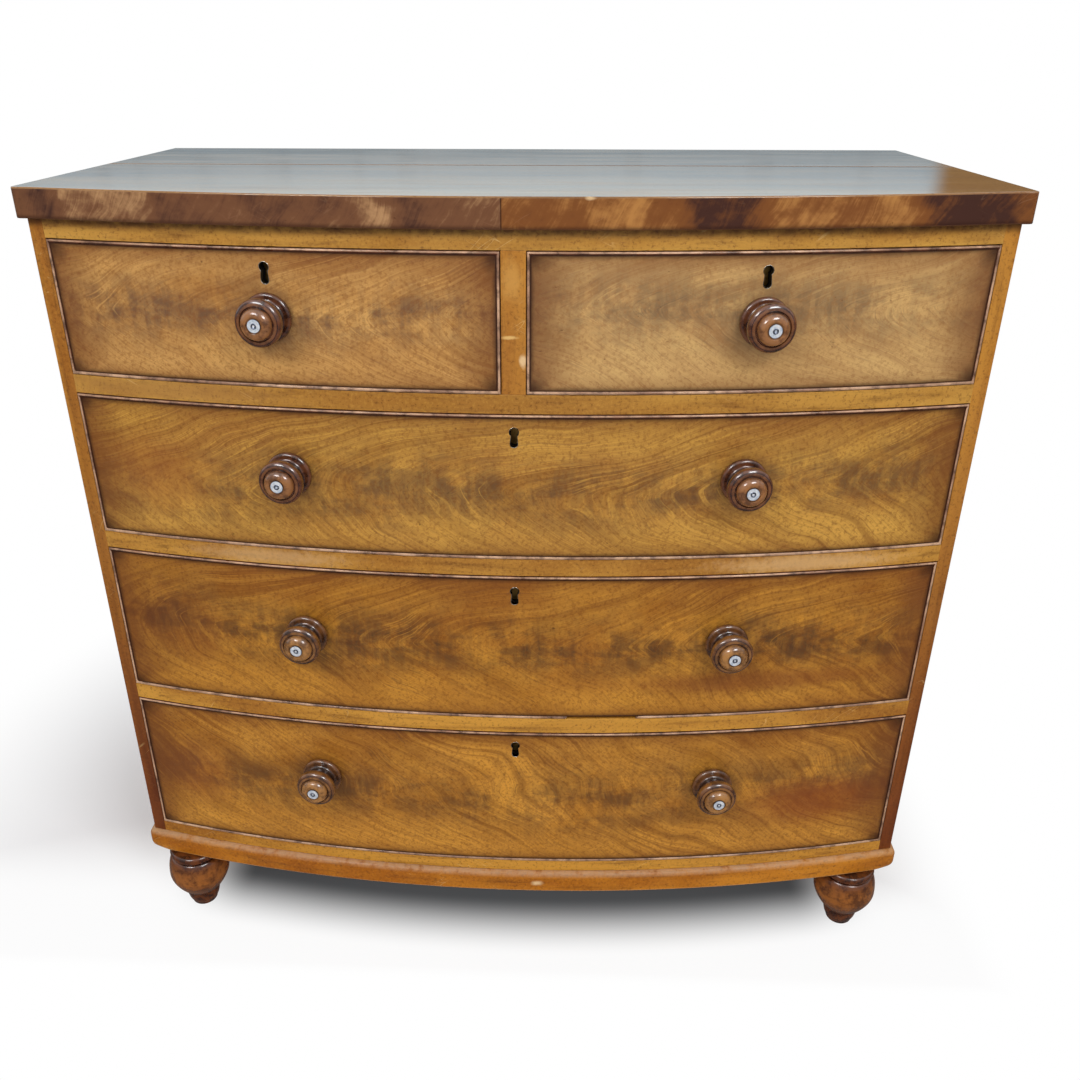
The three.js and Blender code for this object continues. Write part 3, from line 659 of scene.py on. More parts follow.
def keyhole_lining(name, hole_x, hole_z, material, body):
    """A thin metal strip that follows the keyhole's outline, carried round it as a small rounded oblong."""
    line = even_line(keyhole_line(8), 96)
    ahead = np.roll(line, -1, axis=0) - np.roll(line, 1, axis=0)
    ahead /= np.hypot(*ahead.T)[:, None]
    inward = np.stack([-ahead[:, 1], ahead[:, 0]], axis=-1)
    half = LINING_WALL / 2
    wall = round_part(half, LINING_PROUD - half, half, half, 180, 0, 6)
    section = np.concatenate([[[0.0, -LINING_DEPTH]], wall, [[LINING_WALL, -LINING_DEPTH]]])
    x = hole_x + line[:, 0][:, None] + inward[:, 0][:, None] * section[:, 0]
    z = hole_z + line[:, 1][:, None] + inward[:, 1][:, None] * section[:, 0]
    rows = np.stack([x, bow_y(x, np.repeat(section[:, 1][None, :], len(x), axis=0)), z], axis=-1)
    inside = np.repeat(np.clip(-section[:, 1] / LINING_DEPTH, 0, 1)[None, :], len(rows), axis=0)
    faces = grid_faces(len(rows), len(section), close_rows=True)
    return add_piece(name, rows, faces, material, body, slot="lock_brass", measures={"inside": inside})


def plinth_line():
    """The right half of the plinth's outline from above: the side, a small round corner, then the bow.

    Each run is a stack of (place on the outer line, direction outwards, place on the inner line).
    """
    outer = CASE_HALF + PLINTH_PROUD
    inner = outer - PLINTH_WIDTH
    inner_y = BACK_Y + PLINTH_WIDTH - SIDE_DEPTH
    corner_x = outer - PLINTH_CORNER_ROUND
    slope = math.asin(corner_x / (BOW_RADIUS + PLINTH_PROUD))
    corner_y = float(bow_y(corner_x, PLINTH_PROUD)) + PLINTH_CORNER_ROUND * math.cos(slope)
    turns = np.linspace(0, math.pi / 2 - slope, 9)
    corner_out = np.stack([np.cos(turns), -np.sin(turns)], axis=-1)
    corner = corner_y + PLINTH_CORNER_ROUND * corner_out
    corner[:, 0] = outer - PLINTH_CORNER_ROUND * (1 - corner_out[:, 0])
    side_y = np.linspace(BACK_Y, corner_y, 24, endpoint=False)
    side = np.stack([np.full_like(side_y, outer), side_y], axis=-1)
    side_out = np.repeat([[1.0, 0.0]], len(side), axis=0)
    side_in = np.stack([np.full_like(side_y, inner), np.maximum(side_y, inner_y)], axis=-1)
    corner_in = np.repeat([[inner, inner_y]], len(corner), axis=0)
    bow_start = math.asin(corner[-1, 0] / (BOW_RADIUS + PLINTH_PROUD))
    angle = np.linspace(bow_start, 0, 49)[1:]
    reach = BOW_RADIUS + PLINTH_PROUD
    front = np.stack([reach * np.sin(angle), BOW_CENTRE_Y - reach * np.cos(angle)], axis=-1)
    front_out = np.stack([np.sin(angle), -np.cos(angle)], axis=-1)
    front_in = np.stack([np.minimum(front[:, 0], inner), np.full(len(front), inner_y)], axis=-1)
    runs = ((side, side_out, side_in), (corner, corner_out, corner_in), (front, front_out, front_in))
    return [np.stack(run) for run in runs]


def mirrored(run):
    """The same run of stations on the other side of the middle."""
    return run * np.array([-1.0, 1.0])


def plinth_run(name, run, corner, material):
    """The plinth's section, a strip whose outer edges are rounded, carried along a run of stations.

    The lower round grows towards the corner by the bell curve of the distance from it, as the wood wears away
    there.
    """
    low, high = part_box("plinth_front")[0].z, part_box("plinth_front")[1].z
    places, outwards, inners = run
    turns = quarter(7)
    away = np.hypot(np.abs(places[:, 0]) - corner[0], places[:, 1] - corner[1])[:, None]
    low_round = PLINTH_LOW_ROUND + CORNER_WEAR * np.exp(-np.square(away / CORNER_WEAR_REACH))
    top_inset = np.repeat(PLINTH_TOP_ROUND * (1 - np.sin(turns))[None, :], len(places), axis=0)
    top_level = np.repeat((high - PLINTH_TOP_ROUND * (1 - np.cos(turns)))[None, :], len(places), axis=0)
    inset = np.concatenate([top_inset, low_round * (1 - np.sin(turns[::-1]))], axis=1)
    level = np.concatenate([top_level, low + low_round * (1 - np.cos(turns[::-1]))], axis=1)
    inset = np.concatenate([inset[:, :1] + PLINTH_SUPPORT, inset, inset[:, -1:] + PLINTH_SUPPORT], axis=1)
    ends = np.full_like(away, 1.0)
    outer = places[:, None, :] - outwards[:, None, :] * inset[:, :, None]
    flat = np.concatenate([inners[:, None, :], outer, inners[:, None, :]], axis=1)
    z = np.concatenate([ends * high, ends * high, level, ends * low, ends * low], axis=1)
    rows = close_ends(np.concatenate([flat, z[..., None]], axis=-1))
    # How pale each point of the section goes: the top round most, as a painted highlight, the lower round
    # less along its middle
    paled = np.concatenate([[0, 0.9], 0.9 * np.cos(turns), 0.6 * np.sin(2 * turns[::-1]), [0, 0]])
    edge = np.repeat(paled[None, :], len(rows), axis=0)
    faces = grid_faces(len(rows), rows.shape[1])
    return add_piece(
        name + "_moulded", rows, faces, material, "carcass", replaced=[name], slot="case_mahogany",
        measures={"edge": edge},
    )


def make_plinth(material):
    """The plinth's three pieces, cut on the mitre at the middle of each round corner."""
    side, corner, front = plinth_line()
    mitre = corner.shape[1] // 2
    right = np.concatenate([side, corner[:, :mitre + 1]], axis=1)
    bow_half = np.concatenate([corner[:, mitre:], front], axis=1)
    bow = np.concatenate([bow_half, mirrored(bow_half)[:, -2::-1]], axis=1)
    point = corner[0, mitre]
    plinth_run("plinth_right", right, point, material)
    plinth_run("plinth_left", mirrored(right), point, material)
    plinth_run("plinth_front", bow, point, material)


# Small helpers for wiring materials: those that are told no tree find it from a socket among their values

def tree_of(values):
    """The node tree that the first socket among the values belongs to."""
    return next(value.id_data for value in values if isinstance(value, bpy.types.NodeSocket))


def wire(socket, value):
    """Joins an output to an input, or sets the input's own value."""
    if isinstance(value, bpy.types.NodeSocket):
        socket.id_data.links.new(value, socket)
    else:
        socket.default_value = value


def put(tree, kind, values=None, **settings):
    """Adds a shader node with its settings, and wires or sets the inputs given by name or place."""
    node = tree.nodes.new("ShaderNode" + kind)
    for label, setting in settings.items():
        setattr(node, label, setting)
    for label, value in (values or {}).items():
        wire(node.inputs[label], value)
    return node


def calc(operation, *values, kind="Math", **settings):
    """One step of arithmetic on sockets and numbers, or of kind VectorMath on vectors."""
    return put(tree_of(values), kind, dict(enumerate(values)), operation=operation, **settings).outputs[0]


def plus(first, *others):
    """The sum of a socket and others, sockets or numbers, added in turn."""
    for other in others:
        first = calc("ADD", first, other)
    return first


def less(first, second):
    """The first less the second."""
    return calc("SUBTRACT", first, second)


def times(first, second):
    """The first times the second."""
    return calc("MULTIPLY", first, second)


def over(first, second):
    """The first divided by the second."""
    return calc("DIVIDE", first, second)


def greatest(first, *others):
    """The greatest of a socket and others."""
    for other in others:
        first = calc("MAXIMUM", first, other)
    return first


def off(value, middle=0.5):
    """How far a value lies from a middle, either way."""
    return calc("ABSOLUTE", less(value, middle))


def length_of(vector):
    """The length of a vector."""
    return put(vector.id_data, "VectorMath", {0: vector}, operation="LENGTH").outputs["Value"]


def split(vector):
    """The three parts of a vector, by the names X, Y and Z."""
    return put(vector.id_data, "SeparateXYZ", {0: vector}).outputs


def mixed(share, first, second):
    """Two colours mixed by a share."""
    tree = tree_of((share, first, second))
    return put(tree, "Mix", {0: share, 6: first, 7: second}, data_type="RGBA").outputs[2]


def layered(tone, *layers):
    """A colour with others laid over it in turn, each told as its share and its colour."""
    for share, layer in layers:
        tone = mixed(share, tone, layer)
    return tone


def ranged(value, low, high, to_low=0.0, to_high=1.0):
    """A value eased from one range into another, and held at its ends."""
    values = {"Value": value, "From Min": low, "From Max": high, "To Min": to_low, "To Max": to_high}
    return put(value.id_data, "MapRange", values, interpolation_type="SMOOTHSTEP").outputs["Result"]


def noise(vector, cells, seed, detail=2.0, rough=0.5):
    """Soft noise from 0 to 1 that a seed shifts, with so many cells to a metre, or so many each way."""
    if isinstance(cells, tuple):
        vector, cells = calc("MULTIPLY", vector, cells, kind="VectorMath"), 1.0
    values = {"Vector": vector, "Scale": cells, "W": seed, "Detail": detail, "Roughness": rough}
    return put(vector.id_data, "TexNoise", values, noise_dimensions="4D").outputs["Fac"]


def centred(vector, cells, seed, detail=2.0, rough=0.5):
    """The same noise about zero."""
    return less(noise(vector, cells, seed, detail, rough), 0.5)


def lined(across, along, cells, seed, detail, rough=0.5):
    """Noise whose cells are counted across and along the lines of the wood."""
    place = {"X": times(across, cells[0]), "Z": times(along, cells[1])}
    return noise(put(across.id_data, "CombineXYZ", place).outputs[0], 1.0, seed, detail, rough)


def ramp(share, stops):
    """A grey or a colour for each share, straight between stops told as a position and a tone."""
    node = put(share.id_data, "ValToRGB", {"Fac": share})
    elements = node.color_ramp.elements
    for stop in stops[1:-1]:
        elements.new(stop[0])
    for element, (position, tone) in zip(elements, stops):
        element.position = position
        element.color = (*tone, 1.0) if isinstance(tone, tuple) else (tone, tone, tone, 1.0)
    return node.outputs["Color"]


def new_group(name, vectors, values, colours):
    """A node group with named inputs of three kinds. Returns it and its input sockets by name."""
    tree = bpy.data.node_groups.new(name, "ShaderNodeTree")
    for labels, kind in ((vectors, "Vector"), (values, "Float"), (colours, "Color")):
        for label in labels.split():
            tree.interface.new_socket(label, in_out="INPUT", socket_type="NodeSocket" + kind)
    return tree, tree.nodes.new("NodeGroupInput").outputs


def give(tree, tone, height=None):
    """Ends a group with its colour and, where it has one, its height. Returns the group."""
    tree.interface.new_socket("color", in_out="OUTPUT", socket_type="NodeSocketColor")
    if height is not None:
        tree.interface.new_socket("height", in_out="OUTPUT", socket_type="NodeSocketFloat")
    end = tree.nodes.new("NodeGroupOutput")
    wire(end.inputs["color"], tone)
    if height is not None:
        wire(end.inputs["height"], height)
    return tree


def use(group, **values):
    """Places a group in the material of its sockets, and wires or sets its inputs."""
    return put(tree_of(values.values()), "Group", values, node_tree=group).outputs


def colour(red, green, blue):
    """A colour seen on a screen, 0 to 255 each, as the linear values that nodes take."""
    parts = np.array([red, green, blue]) / 255
    linear = np.where(parts <= 0.04045, parts / 12.92, ((parts + 0.055) / 1.055) ** 2.4)
    return (*linear.tolist(), 1.0)


def make_feather_group():
    """Crotch-cut veneer: growth lines that sweep out from a wandering level line, and a dull band along it.

    A line is where x less a sweep that grows with the height from the middle stays the same.
    """
    tree, given = new_group(
        "Feather veneer", "vector", "middle half_height upper_sweep lower_sweep seed band contrast",
        "pale tan deep shade",
    )
    place, seed = given["vector"], given["seed"]
    pale, deep, shade = given["pale"], given["deep"], given["shade"]
    parts = split(place)
    rise = over(less(parts["Z"], given["middle"]), given["half_height"])
    level = plus(rise, times(centred(place, ROAM_CELLS, seed), 1.1))
    above = calc("POWER", greatest(level, 0.0), SWEEP_BEND)
    below = calc("POWER", greatest(times(level, -1.0), 0.0), SWEEP_BEND)
    sweep = plus(times(above, given["upper_sweep"]), times(below, given["lower_sweep"]))
    drift = centred(place, DRIFT_CELLS, seed)
    curl = centred(place, CURL_CELLS, seed)
    across = plus(less(parts["X"], sweep), times(drift, SWEEP_DRIFT), times(curl, SWEEP_CURL))
    along = plus(parts["Z"], times(across, 0.12))

    cloud = noise(place, CLOUD_CELLS, plus(seed, 11.0), 4.0, 0.62)
    warm = lined(across, along, WARM_CELLS, plus(seed, 5.0), 3.0, 0.55)
    flame = lined(across, along, FLAME_CELLS, seed, 3.0, 0.52)
    shown = ranged(noise(place, 6.0, plus(seed, 3.0)), 0.38, 0.62, 0.25, 1.0)
    shown = times(shown, given["contrast"])
    threads = lined(across, along, THREAD_CELLS, plus(seed, 7.0), 3.0)
    patches = noise(place, 13.0, plus(seed, 3.0), 1.0)
    thread = times(ranged(off(threads), 0.0, 0.020, 1.0, 0.0), ranged(patches, 0.46, 0.66))
    crack = times(ranged(off(threads, 0.56), 0.0, 0.010, 1.0, 0.0), ranged(patches, 0.44, 0.34))
    fibres = lined(across, along, FIBRE_CELLS, plus(seed, 23.0), 3.0, 0.6)
    band_fall = calc("EXPONENT", times(calc("POWER", level, 2.0), -4.5))
    leaning = plus(parts["X"], times(curl, BARS_LEAN))
    bars = lined(leaning, parts["Z"], BAR_CELLS, plus(seed, 17.0), 4.0, 0.66)
    stain = noise(place, STAIN_CELLS, plus(seed, 19.0), 5.0, 0.66)
    dull = plus(times(ranged(bars, 0.41, 0.59), 0.32), times(ranged(stain, 0.41, 0.60), 0.68))
    band = times(times(band_fall, dull), given["band"])
    pores = ranged(lined(across, along, PORE_CELLS, seed, 2.0), 0.58, 0.72)
    mottle = noise(place, 240.0, seed, 3.0, 0.65)

    tone = layered(
        mixed(ranged(cloud, 0.36, 0.64), pale, given["tan"]),
        (times(ranged(warm, 0.46, 0.72), 0.55), deep),
        (times(ranged(rise, 0.0, 1.0), 0.30), deep),
        (times(ranged(rise, 0.1, -0.9), 0.45), pale),
        (times(times(ranged(flame, 0.49, 0.64), 0.52), shown), deep),
        (times(times(ranged(flame, 0.47, 0.38), 0.58), shown), pale),
        (ranged(fibres, 0.46, 0.66, 0.0, 0.30), deep),
        (ranged(fibres, 0.46, 0.32, 0.0, 0.28), pale),
        (band, shade),
        (times(thread, 0.60), pale),
        (times(crack, 0.45), shade),
        (times(pores, 0.36), shade),
        (ranged(mottle, 0.46, 0.66, 0.0, 0.50), deep),
    )
    return give(tree, tone, less(times(flame, 0.3), pores))


def make_grime_group():
    """Darkens a colour towards an edge: strongest on it, ragged, and deeper in the corners, with a brown
    stain along the edge and at the ends.
    """
    tree, given = new_group("Edge grime", "vector", "rim corner ends reach seed", "color grime stain")
    reach = times(given["reach"], plus(noise(given["vector"], 55.0, given["seed"], 3.0, 0.6), 0.5))
    rim, corner, ends = (over(given[label], reach) for label in ("rim", "corner", "ends"))
    close = times(ranged(rim, 0.0, 1.0, 1.0, 0.0), 0.80)
    tight = ranged(given["rim"], *TIGHT_DARKENING, 1.0, 0.0)
    mask = greatest(close, tight, ranged(corner, 0.0, 4.2, 0.95, 0.0))
    stained = greatest(ranged(rim, 0.0, 3.4, 0.46, 0.0), ranged(ends, 0.0, 10.0, 0.70, 0.0))
    tone = layered(given["color"], (stained, given["stain"]), (times(mask, 0.92), given["grime"]))
    return give(tree, tone)


def make_spot_group():
    """A soft-edged patch of another colour about a centre, with a ragged outline."""
    tree, given = new_group("Soft patch", "vector centre spread", "strength ragged", "color patch")
    away = calc("SUBTRACT", given["vector"], given["centre"], kind="VectorMath")
    shares = calc("DIVIDE", away, given["spread"], kind="VectorMath")
    torn = centred(given["vector"], 140.0, 1.0, 3.0, 0.6)
    far = plus(length_of(shares), times(torn, given["ragged"]))
    mask = times(ranged(far, 0.25, 1.0, 1.0, 0.0), given["strength"])
    return give(tree, mixed(mask, given["color"], given["patch"]))


def make_marks_group():
    """Small dents and worm holes as dark dots, and fine pale scratches where a noise is near its middle."""
    tree, given = new_group("Dents and scratches", "vector", "dents scratches seed", "color dark light")
    place, seed = given["vector"], given["seed"]
    values = {"Vector": place, "Scale": 62.0, "W": seed}
    dots = put(tree, "TexVoronoi", values, voronoi_dimensions="4D").outputs
    picked = calc("LESS_THAN", split(dots["Color"])["X"], given["dents"])
    dent = times(ranged(dots["Distance"], 0.05, 0.13, 1.0, 0.0), picked)
    speck = ranged(noise(place, (160.0, 160.0, 300.0), seed, 2.0, 0.6), 0.68, 0.78)
    kinds = ((0.7, (9.0, 9.0, 70.0), 4.0, 0.5, 0.008), (-0.45, (7.0, 7.0, 90.0), 9.0, 0.52, 0.006))
    scratches = []
    for angle, cells, shift, middle, width in kinds:
        slant = put(tree, "VectorRotate", {"Vector": place, "Angle": angle}, rotation_type="Y_AXIS")
        lines = noise(slant.outputs[0], cells, plus(seed, shift), 1.0, 0.3)
        scratches.append(ranged(off(lines, middle), 0.0, width, 1.0, 0.0))
    here = ranged(noise(place, 16.0, plus(seed, 2.0), 2.0, 0.6), 0.54, 0.70)
    scratch = times(times(greatest(*scratches), here), given["scratches"])
    tone = layered(
        given["color"], (times(speck, 0.60), given["dark"]), (times(dent, 0.85), given["dark"]),
        (scratch, given["light"]),
    )
    return give(tree, tone, less(times(dent, -1.0), scratch))


def make_grain_group():
    """Plain-sawn grain: long soft streaks, finer lines and short pores along the direction that cells gives.

    cells holds how many noise cells fit in a metre each way: few along the grain and many across it.
    """
    tree, given = new_group("Straight grain", "vector cells", "seed contrast", "pale deep dark")
    vector, seed, contrast = given["vector"], given["seed"], given["contrast"]
    pale, deep, dark = given["pale"], given["deep"], given["dark"]
    sway = put(tree, "TexNoise", {"Vector": vector, "Scale": 3.0, "Detail": 2.0}).outputs["Color"]
    swayed = calc("MULTIPLY_ADD", sway, GRAIN_SWAY, vector, kind="VectorMath")
    place = calc("MULTIPLY", swayed, given["cells"], kind="VectorMath")
    broad = noise(place, 0.55, seed, 3.0, 0.55)
    lines = noise(place, 3.2, seed, 4.0, 0.62)
    pores = ranged(noise(place, 24.0, seed), 0.60, 0.74)
    speckle = noise(vector, 260.0, seed, 3.0, 0.7)
    cloud = noise(vector, 9.0, seed, 3.0, 0.55)
    tone = layered(
        mixed(ranged(broad, 0.34, 0.66), pale, deep),
        (times(ranged(cloud, 0.45, 0.70), 0.4), pale),
        (times(ranged(lines, 0.48, 0.78), contrast), dark),
        (times(pores, 0.35), dark),
        (times(times(ranged(speckle, 0.52, 0.68), contrast), 0.9), dark),
        (times(times(ranged(speckle, 0.48, 0.34), contrast), 0.6), pale),
    )
    return give(tree, tone, less(times(lines, 0.4), pores))


# How many noise cells of each figure fit in a metre: along x, y and z, or across and along the growth lines
ROAM_CELLS = (3.0, 1.0, 5.0)
DRIFT_CELLS = (5.0, 1.0, 8.0)
CURL_CELLS = (24.0, 1.0, 36.0)
CLOUD_CELLS = (7.0, 1.0, 12.0)
STAIN_CELLS = (14.0, 1.0, 30.0)
WARM_CELLS = (15.0, 9.0)
FLAME_CELLS = (84.0, 5.0)
THREAD_CELLS = (30.0, 5.0)
FIBRE_CELLS = (330.0, 14.0)
BAR_CELLS = (78.0, 16.0)
PORE_CELLS = (520.0, 70.0)

# Growth lines of the veneer: how their sweep bends, drifts and curls, and how the dull bars lean
SWEEP_BEND = 1.35
SWEEP_DRIFT = 0.17
SWEEP_CURL = 0.008
BARS_LEAN = 0.010
GRAIN_SWAY = (0.03, 0.03, 0.03)

# Tight darkening is full up to the first distance from an edge, and gone at the second
TIGHT_DARKENING = (0.0010, 0.0034)

FEATHER = make_feather_group()
EDGE_DARKENING = make_grime_group()
PATCH = make_spot_group()
MARKS = make_marks_group()
GRAIN = make_grain_group()

DEEP_BROWN = colour(46, 22, 12)
END_STAIN = colour(108, 58, 24)
DARKENING_REACH = 0.0070
# The painted shadow under the top's overhang: gone this far below the top board, and full this close under it
UNDER_TOP_SHADOW = 0.014
UNDER_TOP_GAP = 0.001
POLISH_ROUGHNESS = 0.08
BARE_CHIP = colour(226, 190, 140)

# How deep the bump of each surface is
VENEER_BUMP = 0.00010
CASE_BUMP = 0.00012
TOP_BUMP = 0.00004
BEAD_BUMP = 0.0002
TURNED_BUMP = 0.00003
BARE_BUMP = 0.0002
METAL_BUMP = 0.00005

# The top board: its joint, the streaks of its front edge and the line where that edge's two lengths meet
TOP_JOINT = 0.252
JOINT_WAVER = 0.002
JOINT_WIDTH = (0.0010, 0.0060)
CUT_WAVER = 0.05
CUT_START = 0.355
STREAK_WAVER = 0.035
SEAM_X = -0.012
SEAM_HALF = 0.001
SEAM_WIDTH = (0.0003, 0.0011)
UNDER_EDGE = (0.033, 0.027)
PLAIN_EDGE = (0.006, 0.016)
EDGE_START = (0.0011, 0.0019)
CHIP_DROP = 0.0012
CHIP_CENTRE = (0.078, -0.2745, cad_high.z - CHIP_DROP)
CHIP_SPREAD = (0.008, 0.006, 0.0030)

# How edges go pale, from use on the rails and uprights and as a painted highlight on the plinth's rounds:
# where a soft noise starts and ends it, how strong it and the dirt get, and its colour
EDGE_WEAR = (0.42, 0.62, 0.45, 0.7, colour(214, 160, 96))
PLINTH_HIGHLIGHT = (0.15, 0.60, 0.74, 0.25, colour(196, 164, 128))

# The cuts of veneer along the top's front edge: each one's share of the way from the left, and how dark it is
EDGE_CUT_SHARES = (
    (0.00, 0.50), (0.045, 0.85), (0.075, 0.30), (0.155, 0.35), (0.165, 0.72), (0.235, 0.55), (0.265, 0.74),
    (0.32, 0.60), (0.375, 0.32), (0.405, 0.78), (0.445, 0.62), (0.478, 0.42), (0.492, 0.35), (0.56, 0.45),
    (0.615, 0.18), (0.655, 0.50), (0.675, 0.95), (0.72, 0.85), (0.745, 0.30), (0.83, 0.42), (0.875, 0.22),
    (0.90, 0.80), (0.93, 1.1), (0.965, 1.05), (0.985, 0.62),
)


def start_material(name):
    """A new material: returns it, its node tree, its Principled shader and the Object coordinates."""
    material = bpy.data.materials.new(name)
    material.use_nodes = True
    tree = material.node_tree
    shader = tree.nodes["Principled BSDF"]
    place = put(tree, "TexCoord").outputs["Object"]
    return material, tree, shader, place


def attribute(tree, label):
    """A value that the piece's own points carry."""
    return put(tree, "Attribute", attribute_name=label).outputs["Fac"]


def finish_surface(shader, tone, height, depth, roughness, place, coat=0.0, shine=0.5):
    """Sends colour, uneven roughness and a fine bump to the shader, and sets its coat of polish and shine."""
    wire(shader.inputs["Base Color"], tone)
    handled = noise(place, 21.0, 2.0, 4.0, 0.6)
    wire(shader.inputs["Roughness"], ranged(handled, 0.3, 0.7, *roughness))
    bump = put(shader.id_data, "Bump", {"Height": height, "Strength": 1.0, "Distance": depth})
    wire(shader.inputs["Normal"], bump.outputs[0])
    shader.inputs["Coat Weight"].default_value = coat
    shader.inputs["Coat Roughness"].default_value = POLISH_ROUGHNESS
    shader.inputs["Specular IOR Level"].default_value = shine


def patched(tone, place, spots, ragged):
    """A colour with soft patches laid over it, each told as its centre, spread, colour and strength."""
    for centre, spread, patch, strength in spots:
        tone = use(
            PATCH, color=tone, patch=patch, vector=place, centre=centre, spread=spread, strength=strength,
            ragged=ragged,
        )["color"]
    return tone


def veneer_material(name, middle, half, sweeps, seed, tones, band, contrast, spots):
    """Figured veneer under old polish: feather figure, darkening along the beads and in the corners, and
    painted shade with hand dirt just below and round the knobs.
    """
    material, tree, shader, place = start_material(name)
    pale, tan, deep, shade = tones
    figure = use(
        FEATHER, vector=place, middle=middle, half_height=half, upper_sweep=sweeps[0], lower_sweep=sweeps[1],
        seed=seed, band=band, contrast=contrast, pale=pale, tan=tan, deep=deep, shade=shade,
    )
    tone = patched(figure["color"], place, spots, 0.35)
    marks = use(MARKS, color=tone, vector=place, dents=0.08, scratches=0.22, seed=seed, dark=DEEP_BROWN, light=pale)
    edges = {label: attribute(tree, label) for label in ("rim", "corner", "ends")}
    grime = use(
        EDGE_DARKENING, color=marks["color"], grime=DEEP_BROWN, stain=END_STAIN, vector=place, reach=DARKENING_REACH, seed=seed,
        **edges,
    )
    height = plus(figure["height"], times(marks["height"], 2.5))
    finish_surface(shader, grime["color"], height, VENEER_BUMP, (0.30, 0.46), place, shine=0.22)
    return material


def case_material(name, cells, seed, pale, deep, low_pale, low_deep, patches=(), edge_paling=EDGE_WEAR):
    """Honey-coloured show wood: straight grain, warmer and redder towards the floor, and pale on its edges:
    from use on most pieces, as a painted highlight on the plinth's rounds. A painted shadow lies under the
    top's overhang.
    """
    material, tree, shader, place = start_material(name)
    height_up = split(place)["Z"]
    lower = ranged(height_up, 0.15, 0.95, 1.0, 0.0)
    grain = use(
        GRAIN, vector=place, cells=cells, seed=seed, contrast=0.60, pale=mixed(lower, pale, low_pale),
        deep=mixed(lower, deep, low_deep), dark=colour(92, 48, 14),
    )
    tone = patched(grain["color"], place, patches, 0.9)
    marks = use(
        MARKS, color=tone, vector=place, dents=0.07, scratches=0.55, seed=seed, dark=colour(84, 42, 14),
        light=colour(232, 196, 128),
    )
    rub_and_light = noise(place, 90.0, seed, 3.0, 0.6)
    start, full, most, stain_most, edge_pale_tone = edge_paling
    edge = attribute(tree, "edge")
    paled = times(edge, ranged(rub_and_light, start, full))
    stained = times(edge, ranged(rub_and_light, 0.46, 0.30))
    top_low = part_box("top_board")[0].z
    # A painted shadow on the wood just under the top's overhang, broken up by the same patches as the pale
    # edges
    under_top_shadow = ranged(height_up, top_low - UNDER_TOP_SHADOW, top_low - UNDER_TOP_GAP, 0.0, 0.9)
    tone = layered(
        marks["color"],
        # Pale edges: from use, and on the plinth's rounds a painted highlight
        (times(paled, most), edge_pale_tone),
        (times(stained, stain_most), colour(84, 38, 12)),
        (times(under_top_shadow, ranged(rub_and_light, 0.3, 0.7, 0.6, 1.0)), colour(66, 32, 10)),
    )
    height = plus(grain["height"], times(marks["height"], 2.0))
    finish_surface(shader, tone, height, CASE_BUMP, (0.32, 0.50), place, shine=0.22)
    return material


def top_edge_tone(place, plain):
    """The colour of the top's edge: veneer in mixed cuts on the bow, and plain wood past its corners."""
    parts = split(place)
    reach = CASE_HALF + TOP_OVERHANG
    shift = centred(place, (14.0, 1.0, 20.0), 8.0)
    slide = plus(parts["X"], times(shift, CUT_WAVER), times(parts["Z"], 0.35))
    cuts = ramp(over(plus(slide, reach - CUT_START), 2 * reach), EDGE_CUT_SHARES)
    across = plus(parts["X"], times(parts["Z"], -0.55), times(shift, STREAK_WAVER))
    streaks = lined(across, parts["Z"], (150.0, 9.0), 6.0, 3.0, 0.55)
    fine = lined(across, parts["Z"], (620.0, 30.0), 6.0, 2.0, 0.6)
    clouds = noise(place, (34.0, 1.0, 46.0), 21.0, 4.0, 0.6)
    dark = plus(cuts, times(less(clouds, 0.5), 1.2), times(less(streaks, 0.5), 0.60))
    dark = calc("ADD", dark, times(less(fine, 0.5), 0.35), use_clamp=True)
    right_part = ranged(parts["X"], SEAM_X - SEAM_HALF, SEAM_X + SEAM_HALF)
    light_cut = mixed(right_part, colour(178, 136, 94), colour(176, 122, 66))
    middle_cut = mixed(right_part, colour(112, 74, 50), colour(122, 74, 38))
    seam = ranged(calc("ABSOLUTE", plus(parts["X"], -SEAM_X)), *SEAM_WIDTH, 1.0, 0.0)
    return layered(
        mixed(ranged(dark, 0.0, 0.50), light_cut, middle_cut),
        (ranged(dark, 0.50, 1.15), colour(54, 34, 33)),
        (times(seam, 0.8), DEEP_BROWN),
        # Darker towards the foot of the edge
        (ranged(parts["Z"], cad_high.z - UNDER_EDGE[0], cad_high.z - UNDER_EDGE[1], 0.75, 0.0), DEEP_BROWN),
        (ranged(parts["Y"], TOP_CORNER_Y + PLAIN_EDGE[0], TOP_CORNER_Y + PLAIN_EDGE[1]), plain),
    )


